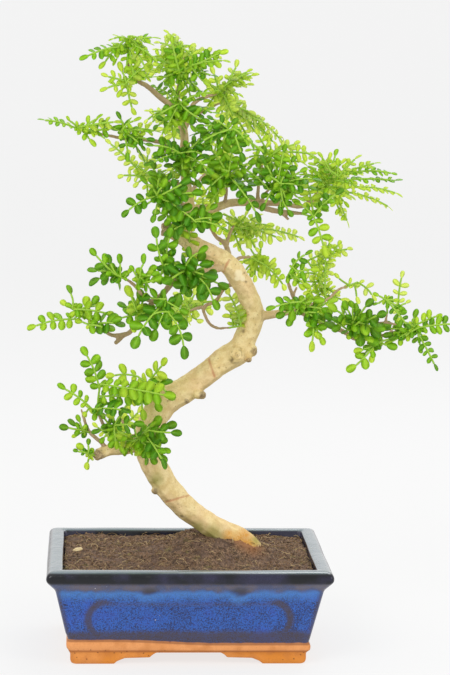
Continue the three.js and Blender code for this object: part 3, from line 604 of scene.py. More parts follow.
trunk_rows = [
    [72, 66, 3, 13], [66, 79, 2, 15], [58, 92, 0, 14.6], [46, 103, -1, 13.2], [33, 110, -1, 12],
    [20, 118, -2, 11.3], [9, 125.5, -2, 11.3], [-3, 135, -3, 11.6], [-15, 148, -4, 12],
    [-24, 160, -5, 12.3], [-31, 172, -6, 12.3], [-37, 186, -6, 12.2], [-39, 199, -6, 12.5],
    [-36, 212, -5, 12.5], [-29, 226, -4, 13], [-18, 239, -2, 13.3], [-4, 246, 0, 12.5],
    [10, 257.5, 2, 11.3], [22, 267, 3, 11], [35, 277, 5, 12.3], [46, 283.5, 6, 12.8],
    [52, 295, 6, 11.5], [56, 306, 6, 10.8], [59.5, 318, 6, 10.5], [56.5, 331, 5, 9.8],
    [50.5, 343.5, 3, 9.8], [43.5, 355.5, 1, 10], [34, 366.5, -1, 9.8], [19, 375.5, -3, 9],
    [4, 383, -4, 9], [-8, 392, -4, 8.5], [-18, 396.5, -4, 7.5], [-27, 398, -4, 6.2],
]
branch_rows = [
    # leader up from the end of the trunk, and its limbs
    [[-5, 388, -4, 6.5], [-8, 399, -3, 6], [-4, 412, -1, 5.5], [-2, 425, 0, 5], [-5, 440, 2, 4.8],
      [-7, 470, 4, 4.5], [-8, 490, 4, 4], [-13, 505, 3, 3.5], [-17, 512, 2, 3.2]],
    [[-15, 509, 2, 3], [-30, 520, 0, 2.8], [-42, 530, -4, 2.5], [-55, 538, -8, 2.2],
      [-60, 548, -10, 1.9], [-60, 563, -12, 1.3]],
    [[-15, 507, 3, 2.6], [-14, 525, 6, 2.2], [-10, 545, 10, 1.8], [-9, 557, 14, 1.3]],
    [[-10, 495, 4, 2.8], [-5, 503, 5, 2.5], [2, 516, 8, 2.2], [12, 521, 12, 1.9], [22, 524, 16, 1.3]],
    [[-8, 488, 4, 2.2], [-2, 500, 12, 2], [8, 507, 20, 1.7], [28, 517, 30, 1.2]],
    [[-7, 466, 4, 2], [12, 478, -8, 1.8], [20, 486, -14, 1.6], [28, 491, -20, 1.2]],
    [[-7, 468, 4, 2.4], [-20, 476, -2, 2.2], [-45, 481, -8, 2], [-60, 481, -12, 1.8],
      [-75, 484, -14, 1.6], [-99, 488, -16, 1.2]],
    [[-7, 466, 4, 3], [-18, 470, 8, 3], [-31, 475, 12, 2.7]],
    [[-5, 438, 2, 2.2], [-18, 442, 10, 1.9], [-35, 445, 18, 1.3]],
    [[-3, 418, 0, 2.2], [-12, 424, -8, 1.9], [-24, 426, -16, 1.3]],
    [[-2, 428, 1, 2.4], [4, 440, 24, 2], [14, 452, 46, 1.3]],
    [[-7, 474, 4, 2.2], [-10, 490, 24, 1.9], [-20, 502, 44, 1.3]],
    # right-hand upper arm
    [[-5, 411, -1, 5], [4, 416, 1, 4.8], [20, 418, 4, 4.3], [35, 423, 8, 4], [50, 424, 10, 3.8],
      [63, 424, 11, 3.4], [75, 423.5, 14, 3], [88, 422.5, 18, 2.6], [105, 421, 22, 2.1],
      [121, 432, 28, 1.3]],
    [[58, 422, 10, 3], [75, 417, 6, 2.8], [90, 415, 0, 2.4], [105, 414, -6, 1.6]],
    [[84, 415, 2, 1.9], [91, 408, -2, 1.4]],
    [[104, 421, 22, 1.7], [113, 429, 18, 1.5], [118, 436, 14, 1.2]],
    [[31, 420, 7, 2.2], [32, 430, 4, 1.8], [33, 440, 0, 1.3]],
    [[62, 422, 11, 2.2], [62, 438, 14, 1.8], [66, 463, 20, 1.3]],
    [[66, 422, 12, 2], [67, 430, 5, 1.7], [73, 437, -3, 1.3]],
    # twigs behind the upper trunk
    [[35, 367, 0, 3.2], [35, 377, 12, 2.8], [30, 387, 20, 2.4], [24, 391, 24, 2], [18, 400, 28, 1.7],
      [11, 412, 32, 1.3]],
    [[33, 380, 15, 2.2], [36, 394, 24, 1.8], [40, 402, 28, 1.3]],
    [[40, 361, 2, 2.4], [44, 371, 12, 2], [56, 373, 20, 1.3]],
    # left-hand middle arm with its two twigs
    [[32, 364, -2, 4], [23, 361, -8, 3.6], [5, 357, -15, 3.5], [-12, 353, -19, 3.2], [-18, 347, -21, 3],
      [-25, 338, -22, 2.8], [-33, 331, -22, 2.6], [-38, 326, -20, 2.4], [-43, 316, -16, 2.4],
      [-52, 308, -12, 2.4], [-56, 301, -10, 2.4], [-64, 298.5, -8, 2.3], [-75, 299, -6, 2],
      [-80, 304, -6, 1.8], [-90, 310, -8, 1.6], [-101, 317, -10, 1.2]],
    [[-31, 332, -22, 2.3], [-38, 331, -24, 2.1], [-45, 337, -26, 2], [-52, 345, -28, 1.8],
      [-61, 352, -30, 1.3]],
    [[-60, 300, -9, 2.4], [-66, 294, -8, 2.3], [-70, 290, -8, 2.1]],
    [[47, 347, 3, 2.6], [34, 345, 12, 2.2], [30, 341, 13, 2], [24, 331, 12, 1.9], [13, 325, 10, 1.8],
      [14, 318, 8, 1.7], [22, 307, 6, 1.6], [39, 306, 2, 1.2]],
    [[15, 326, 10, 1.8], [6, 324, 22, 1.6], [0, 322, 32, 1.2]],
    # right-hand lower arm
    [[58, 318, 6, 5], [70, 318, 5, 4.3], [84, 320, 2, 3.9], [95, 322, -1, 3.5], [102, 322, -3, 3.2],
      [113, 317, -6, 3], [130, 309, -9, 2.7], [145, 303, -11, 2.4], [158, 296, -13, 2.3],
      [175, 298, -14, 2], [190, 302, -15, 1.7], [205, 307, -16, 1.2]],
    [[101, 321, -3, 2.2], [97, 335, -10, 2], [93, 345, -14, 1.8], [90, 355, -18, 1.3]],
    [[96, 336, -11, 1.7], [100, 345, -8, 1.3]],
    [[104, 321, -3, 2.2], [111, 327, 6, 1.9], [130, 334, 16, 1.6], [138, 342, 20, 1.5],
      [147, 346, 24, 1.2]],
    [[158, 297, -13, 1.8], [172, 309, -20, 1.5], [183, 312, -24, 1.4], [195, 310, -27, 1.2]],
    [[184, 311, -24, 1.4], [186, 323, -28, 1.1]],
    [[188, 301, -15, 1.5], [193, 310, 0, 1.3], [196, 318, 10, 1.1]],
    # gnarled stub low on the left with its twigs
    [[-38, 192, -6, 7.5], [-52, 193, -11, 6.6], [-65, 190, -16, 6.3], [-75, 189, -20, 5.6],
      [-82, 186, -22, 5.2], [-88, 182, -24, 4]],
    [[-78, 188, -21, 2.6], [-80, 194, -22, 2.3], [-88, 201, -24, 2], [-95, 209, -24, 1.8],
      [-98, 218, -22, 1.6], [-101, 228, -20, 1.2]],
    [[-70, 191, -19, 2.4], [-73, 203, -26, 2], [-80, 213, -32, 1.8], [-86, 226, -34, 1.3]],
    [[-52, 195, -10, 2.4], [-56, 205, -4, 2], [-60, 213, 0, 1.7], [-66, 221, 4, 1.3]],
    [[-56, 193, -12, 2.3], [-64, 198, 4, 1.9], [-72, 200, 18, 1.3]],
]
root_rows = [
    [[66, 78, 0, 9], [84, 70, 8, 6], [101, 60, 18, 3]],
    [[64, 76, 4, 9], [54, 66, 26, 5.5], [42, 52, 48, 2.6]],
    [[64, 76, -4, 9], [56, 64, -26, 5.5], [46, 50, -48, 2.6]],
    [[62, 78, 0, 8.5], [32, 68, -6, 5.5], [2, 54, -12, 2.6]],
]
# Healed knots on the trunk, as x, z, depth and radius
knot_rows = [
    [-31, 150.5, -6, 3.2], [7, 243, -5, 4.6], [12, 242, -5, 3.6], [44, 279.5, -3, 7.5],
    [59.5, 287.5, 2, 3.6], [60, 282, 1, 3.2], [56, 276, 0, 3.2], [-38, 208, -9, 6],
]
wood_lines = [[(seen(x, z, y), radius) for x, z, y, radius in rows]
              for rows in [trunk_rows] + branch_rows]
wood_lines += [[(Vector((x, y, z)), radius) for x, z, y, radius in rows] for rows in root_rows]


def tubes(name, lines, resolution):
    """Round limbs through rows of centre and radius, closed at both ends, in millimetres."""
    curve = bpy.data.curves.new(name, "CURVE")
    curve.dimensions, curve.bevel_depth, curve.bevel_resolution = "3D", 1, resolution
    curve.resolution_u, curve.use_fill_caps = 5, True
    for line in lines:
        spline = curve.splines.new("BEZIER")
        spline.radius_interpolation = "EASE"
        spline.bezier_points.add(len(line) - 1)
        for joint, (centre, radius) in zip(spline.bezier_points, line):
            joint.co, joint.radius = centre, radius
            joint.handle_left_type = joint.handle_right_type = "AUTO"
    holder = placed(name, curve)
    graph = bpy.context.evaluated_depsgraph_get()
    mesh = bpy.data.meshes.new_from_object(holder.evaluated_get(graph), depsgraph=graph)
    bpy.data.objects.remove(holder)
    return mesh


wood_mesh = bmesh.new()
wood_mesh.from_mesh(tubes("limbs", wood_lines, 3))
for x, z, y, radius in knot_rows:
    bmesh.ops.create_icosphere(wood_mesh, subdivisions=3, radius=radius,
                               matrix=Matrix.Translation(seen(x, z, y)))
wood_data = bpy.data.meshes.new("trunk_and_branches")
wood_mesh.to_mesh(wood_data)
wood_mesh.free()
wood = placed("trunk_and_branches", wood_data)
merge = wood.modifiers.new("one skin", "REMESH")
merge.mode, merge.voxel_size, merge.use_smooth_shade = "VOXEL", 1.1, True
relax = wood.modifiers.new("soft bark", "SMOOTH")
relax.factor, relax.iterations = 0.5, 3
settled(wood)

# Spots along all limbs, each with the limb's radius and direction there, to guide the bark
limb_spots = []
for line in wood_lines:
    for (start, first), (end, last) in zip(line, line[1:]):
        count = max(1, round((end - start).length / 3))
        limb_spots += [(start.lerp(end, step / count), first + (last - first) * step / count,
                        (end - start).normalized()) for step in range(count)]
limb_tree = kdtree.KDTree(len(limb_spots))
for number, (centre, _, _) in enumerate(limb_spots):
    limb_tree.insert(centre, number)
limb_tree.balance()

# Marks of the bark as seen from the front: x, z, how far each reaches and how high it stands
swellings = [(-34, 147, 7, 1.2), (12, 241, 8, 0.8), (45, 280, 8, 0.8), (63, 285, 6, 1.2),
             (-38, 208, 8, 0.8), (-27, 397, 6, 0.8), (57, 330, 7, 0.5), (62, 318, 6, 0.7)]
dents = [(52, 349.5, 1.8, -0.5), (50.5, 358, 1.5, -0.4), (40, 275, 2.6, -0.8), (-5, 125, 2.6, -0.9),
         (50, 303, 3, -1), (12, 241, 2.2, -1.1), (45, 280, 1.6, -1), (-30, 399, 2.4, -1.2),
         (6, 386, 1.2, -0.4), (-5, 385, 1.2, -0.4), (22, 374, 1.1, -0.4), (-38, 176, 1.4, -0.5),
         (28, 268, 1.3, -0.5), (-20, 236, 1.3, -0.5), (52, 96, 1.6, -0.5)]
scars = [(45, 357.5, 4.2, 0.5), (48.5, 352.5, 3.4, 0.5), (43.5, 352.5, 2.8, 0.4)]
gnarled = [(-25, 398, 9, 1.2), (-85, 184, 8, 1), (13, 242, 5, 0.8), (61, 284, 5, 0.9),
           (56, 275, 3.5, 0.6), (-31, 149, 4, 0.3), (-2, 236, 3, 0.5)]
# Old wire left a ring round the trunk in three places, each from x and z to x and z
girdles = [((-20, 139), (3, 146)), ((18, 277), (24, 259)), ((30, 358), (36, 370))]
rusty = [(48, 101, 14, 0), (58, 97, 15, 0), (40, 106, 9, 0), (54, 106, 10, 0)]
mossy = [(24, 106, 17, 0), (66, 102, 9, 0), (10, 113, 12, 0), (-48, 186, 6, 0), (-30, 160, 12, 0)]


def smooth_step(values, low, high):
    """0 at low, 1 at high and smooth between them, for a whole array."""
    share = np.clip((values - low) / (high - low), 0, 1)
    return share * share * (3 - 2 * share)


count = len(wood.data.vertices)
spots, normals = np.empty(3 * count), np.empty(3 * count)
wood.data.vertices.foreach_get("co", spots)
wood.data.vertices.foreach_get("normal", normals)
spots, normals = spots.reshape(-1, 3), normals.reshape(-1, 3)
to_plane = (tree_plane - eye.y) / (spots[:, 1] - eye.y)
x = eye.x + (spots[:, 0] - eye.x) * to_plane
z = eye.z + (spots[:, 2] - eye.z) * to_plane
nearest = [min(limb_tree.find_n(spot, 6), key=lambda found: found[2] / limb_spots[found[1]][1])[1]
           for spot in spots]
radius = np.array([limb_spots[number][1] for number in nearest])
direction = np.array([limb_spots[number][2] for number in nearest])


def bumps(places, size):
    """Smooth noise from -1 to 1 with lumps of about the given size in millimetres."""
    return np.array([noise.noise(place) for place in places / size])


wander = 0.5 * bumps(np.stack((x, z, 0 * z), 1), 4)


def near_marks(marks, soft=1.0):
    """How much of a mark lies at each spot, and the relief of all of them there."""
    share, relief = np.zeros(count), np.zeros(count)
    for mark_x, mark_z, reach, height in marks:
        apart = np.hypot(x - mark_x, z - mark_z) + min(1, reach / 5) * 2.4 * wander
        here = 1 - smooth_step(apart, reach * (1 - soft), reach)
        share, relief = np.maximum(share, here), relief + height * here
    return share, relief


# The bark's relief is coarse on thick wood and fine on twigs, with the marks on the front
girdle = np.zeros(count)
for (start_x, start_z), (end_x, end_z) in girdles:
    step_x, step_z = end_x - start_x, end_z - start_z
    along = ((x - start_x) * step_x + (z - start_z) * step_z) / (step_x ** 2 + step_z ** 2)
    along = np.clip(along, 0, 1)
    apart = np.hypot(x - start_x - along * step_x, z - start_z - along * step_z) + wander
    girdle = np.maximum(girdle, 1 - smooth_step(np.abs(apart), 0.2, 1.5))
on_front = smooth_step(-normals[:, 1], -0.1, 0.35)
thick = smooth_step(radius, 1.5, 9)
dark, dent = near_marks(dents)
swelling = near_marks(swellings)[1]
pale, scar = near_marks(scars, 0.4)
rough, lumpy = near_marks(gnarled, 0.6)
red = girdle * on_front * (radius > 5)
# The bark swirls in rings round the largest knot
knot_x, knot_z = 45, 280
around_knot = np.hypot(x - knot_x, z - knot_z)
swirl = np.cos(math.tau * (around_knot + 3 * bumps(spots, 6)) / 3.4)
swirl *= 1 - smooth_step(around_knot, 5, 10)
swirl *= 1.6 * smooth_step(bumps(spots + 40, 3), -0.3, 0.3)
stretched = spots - 0.75 * (spots * direction).sum(1)[:, None] * direction
relief = thick * (0.9 * bumps(spots, 13) + 0.35 * bumps(spots, 5) + 0.3 * bumps(stretched, 2.4))
relief += 0.25 * (1 - thick) * bumps(spots, 3)
relief += on_front * (dent + swelling + scar + 0.35 * swirl * thick) - 0.35 * red
relief += lumpy * (0.4 + 1.2 * bumps(spots, 3.2))
moved = (spots + relief[:, None] * normals) / 1000 + np.array([pot_middle.x, pot_middle.y, 0])
wood.data.vertices.foreach_set("co", moved.ravel())


def store(data, name, values):
    """Stores a number or a vector for each point of a mesh."""
    values = np.array(values, dtype=float)
    kind, key = ("FLOAT", "value") if values.ndim == 1 else ("FLOAT_VECTOR", "vector")
    data.attributes.new(name, kind, "POINT").data.foreach_set(key, values.ravel())


store(wood.data, "thick", radius)
# The dents are darkened on the front: painted shade in their hollows
store(wood.data, "dark", dark * on_front)
store(wood.data, "pale", pale * on_front)
store(wood.data, "rough", rough)
# The sunken creases of the swirl are darkened on the front: painted shade
store(wood.data, "crease", np.clip(-swirl, 0, 1) * on_front)
store(wood.data, "red", red)
store(wood.data, "rust", near_marks(rusty, 0.7)[0])
store(wood.data, "moss", near_marks(mossy)[0])
wood.data.update()

bark, sheet, place = blank_finish("smooth tan bark")
speckle = grain(place, 1.3, 4, 0.65)
mottle = grain(place, 6, 2)
blotches = grain(place, 22, 1)
corks = scattered(place, 3.4, (0.1, 0.22), (0.55, 0.6))
surface = sheet.node("ShaderNodeNewGeometry", output="Normal")
upward = sheet.node("ShaderNodeSeparateXYZ", {}, {0: surface}).other("Z")
# Faces turned downwards are darker and more olive: painted shade on the underside
underside_shade = 1 - (upward + 0.5 * mottle).ease(-0.55, 0.25)
young = 1 - field("thick").ease(2.2, 6)
rust = field("rust") * (0.45 + 0.5 * (0.6 * mottle + 0.7 * speckle).ease(0.5, 0.8))
tan = painted_over(
    mottle.ease(0.3, 0.7).tint(paint(226, 198, 136), paint(243, 221, 164)),
    (blotches.ease(0.48, 0.68) * 0.35, paint(228, 190, 146)),
    (speckle.ease(0.5, 0.72) * 0.4, paint(184, 150, 98)),
    (underside_shade * 0.5, paint(160, 144, 86)),
    (corks * 0.5, paint(150, 116, 74)),
    (young * 0.85, mottle.tint(paint(140, 116, 88), paint(188, 162, 126))),
    (rust, paint(214, 150, 56)),
    (field("moss") * 0.65, paint(142, 144, 58)),
    (field("red") * 0.7, paint(190, 120, 80)),
    (field("pale") * 0.85, paint(248, 232, 190)),
    (field("rough") * (0.45 + 0.4 * speckle.ease(0.4, 0.6)), paint(112, 92, 70)),
    # Painted shade in the creases round the knot
    (field("crease") * 0.5, paint(134, 106, 60)),
    # Painted shade in the dents
    (field("dark") * 0.8, paint(92, 70, 46)))
finished(sheet, {
    "Base Color": tan,
    "Roughness": 0.62 + 0.2 * speckle,
    "Specular IOR Level": 0.3,
}, 0.6 * speckle + 0.4 * mottle - 0.5 * corks, 0.5)
wood.data.materials.clear()
wood.data.materials.append(bark)
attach(wood, "root")
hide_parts("trunk")

# The leaves are pinnate: a thin rib that carries pairs of small glossy leaflets and one at its
# tip. They sit on short green shoots at the ends of the twigs, and each shoot with its leaves is
# one spray. One leaflet is modelled, and the ribs carry copies of it in several sizes and turns.
leaflet_outline = [(0, 0.03), (0.08, 0.16), (0.27, 0.31), (0.52, 0.38), (0.76, 0.36), (0.93, 0.23),
                   (1, 0.07)]
leaflet_rings, leaflet_across, leaflet_under = [], [], []
for along, half_width in leaflet_outline:
    droop = -0.1 * along * along
    cup = 0.13 * half_width
    leaflet_rings.append([Vector((along, -half_width, droop + cup)), Vector((along, 0, droop)),
                          Vector((along, half_width, droop + cup)), Vector((along, 0, droop - 0.04))])
    leaflet_across += [-1, 0, 1, 0]
    leaflet_under += [0, 0, 0, 1]
leaflet = laid_in_rings("leaflet", leaflet_rings)
store(leaflet.data, "across", leaflet_across)
store(leaflet.data, "under", leaflet_under)
store(leaflet.data, "along", [vert.co.x for vert in leaflet.data.vertices])

leaf_tree, given = new_tree("pinnate leaves on their ribs", {
    "Leaflet": "Object", "Leaflet spacing": "Float", "Leaflet angle": "Float",
    "Leaflet breadth": "Float", "Seed": "Int", "Leaf finish": "Material", "Rib finish": "Material"})
start = given["Geometry"]


def stored(name, kind="FLOAT"):
    """A value that the rib's points carry."""
    return start.node("GeometryNodeInputNamedAttribute", {"data_type": kind}, {"Name": name})


ribs = start.node("GeometryNodeMeshToCurve", {}, {"Mesh": start})
rib_body = start.node("GeometryNodeSetCurveRadius", {}, {"Curve": ribs, "Radius": stored("thickness")})
ring = start.node("GeometryNodeCurvePrimitiveCircle", {}, {"Resolution": 5, "Radius": 0.001})
rib_body = start.node("GeometryNodeCurveToMesh", {}, {
    "Curve": rib_body, "Profile Curve": ring, "Fill Caps": True})
rib_body = start.node("GeometryNodeSetShadeSmooth", {}, {0: rib_body})
rib_body = start.node("GeometryNodeSetMaterial", {}, {
    "Geometry": rib_body, "Material": given["Rib finish"]})

bare = start.node("FunctionNodeCompare", {"operation": "LESS_THAN"}, {
    0: stored("leaflet_size"), 1: 0.001})
carriers = start.node("GeometryNodeDeleteGeometry", {"domain": "CURVE"}, {0: ribs, 1: bare})
carriers = start.node("GeometryNodeTrimCurve", {}, {"Curve": carriers, "Start": stored("bare_part")})
carriers = start.node("GeometryNodeResampleCurve", {"mode": "LENGTH"}, {
    "Curve": carriers, "Length": given["Leaflet spacing"]})
at_tip = start.node("GeometryNodeCurveEndpointSelection", {}, {0: 0, 1: 1})
before_tip = start.node("FunctionNodeBooleanMath", {"operation": "NOT"}, {0: at_tip})
rib_turn = start.node("FunctionNodeAxesToRotation", {"primary_axis": "X", "secondary_axis": "Z"}, {
    0: start.node("GeometryNodeInputTangent"), 1: stored("facing", "FLOAT_VECTOR")})
part_way = start.node("GeometryNodeSplineParameter")
pattern = start.node("GeometryNodeObjectInfo", {}, {0: given["Leaflet"]}, "Geometry")
leaf_parts = [rib_body]
for number, (side, chosen) in enumerate(((1, before_tip), (-1, before_tip), (0, at_tip))):
    seed = given["Seed"] + 10 * number
    lean = start.node("ShaderNodeSeparateXYZ", {}, {
        0: random_vector(start, (-0.35, -0.3, -0.2), (0.35, 0.2, 0.2), seed)})
    turn = start.node("FunctionNodeEulerToRotation", {}, {0: start.node("ShaderNodeCombineXYZ", {}, {
        0: lean, 1: lean.other("Y"), 2: lean.other("Z") + given["Leaflet angle"] * side})})
    size = stored("leaflet_size") * random_number(start, 0.84, 1.12, seed + 1)
    if side:
        size = size * (0.78 + 0.22 * part_way.ease(0, 0.4))
    copies = start.node("GeometryNodeInstanceOnPoints", {}, {
        "Points": carriers, "Selection": chosen, "Instance": pattern,
        "Rotation": start.node("FunctionNodeRotateRotation", {"rotation_space": "LOCAL"}, {
            0: rib_turn, 1: turn}),
        "Scale": start.node("ShaderNodeCombineXYZ", {}, {
            0: size, 1: size * given["Leaflet breadth"], 2: size})})
    copies = start.node("GeometryNodeStoreNamedAttribute", {"domain": "INSTANCE"}, {
        "Geometry": copies, "Name": "tone",
        "Value": stored("tone") + random_number(start, -0.14, 0.14, seed + 2)})
    copies = start.node("GeometryNodeRealizeInstances", {}, {"Geometry": copies})
    leaf_parts.append(start.node("GeometryNodeSetMaterial", {}, {
        "Geometry": copies, "Material": given["Leaf finish"]}))
start.node("NodeGroupOutput", {}, {0: joined(*leaf_parts)})

leaf_green, sheet, place = blank_finish("glossy leaflet")
tone = field("tone")
across = abs(field("across"))
along = field("along")
cloud = grain(place, 5)
# The pale end of the ramp, near white, is painted backlight on the leaves at the back
leaf_colour = tone.node("ShaderNodeValToRGB", {"stops": [
    (0.0, paint(60, 142, 2)), (0.25, paint(134, 202, 12)), (0.5, paint(204, 240, 66)),
    (0.75, paint(240, 252, 140)), (1.0, paint(250, 253, 200))]}, {0: tone + 0.3 * cloud - 0.12})
midrib = 1 - (across + 0.1 * along).ease(0.05, 0.16)
veins = sheet.node("ShaderNodeTexWave", {"wave_type": "BANDS", "bands_direction": "X"}, {
    "Vector": sheet.node("ShaderNodeCombineXYZ", {}, {0: along - 0.35 * across}),
    "Scale": 2.6, "Distortion": 0.0}, "Fac")
leaf_colour = painted_over(
    leaf_colour,
    (midrib * 0.4, paint(170, 206, 84)),
    (veins.ease(0.75, 1) * 0.12, paint(150, 200, 70)),
    (field("under") * 0.45, paint(140, 184, 84)))
finished(sheet, {
    "Base Color": leaf_colour,
    "Roughness": 0.34 + 0.1 * cloud,
    "Specular IOR Level": 0.3,
}, 0.3 * cloud - 0.5 * midrib, 0.15, glow=paint(242, 254, 150), thinness=0.34 + 0.48 * tone.ease(0.1, 0.7))

rib_green, sheet, place = blank_finish("green shoots and ribs")
rib_grain = grain(place, 1.5)
finished(sheet, {
    "Base Color": rib_grain.tint(paint(122, 176, 30), paint(176, 210, 70)),
    "Roughness": 0.5,
}, rib_grain, 0.1)
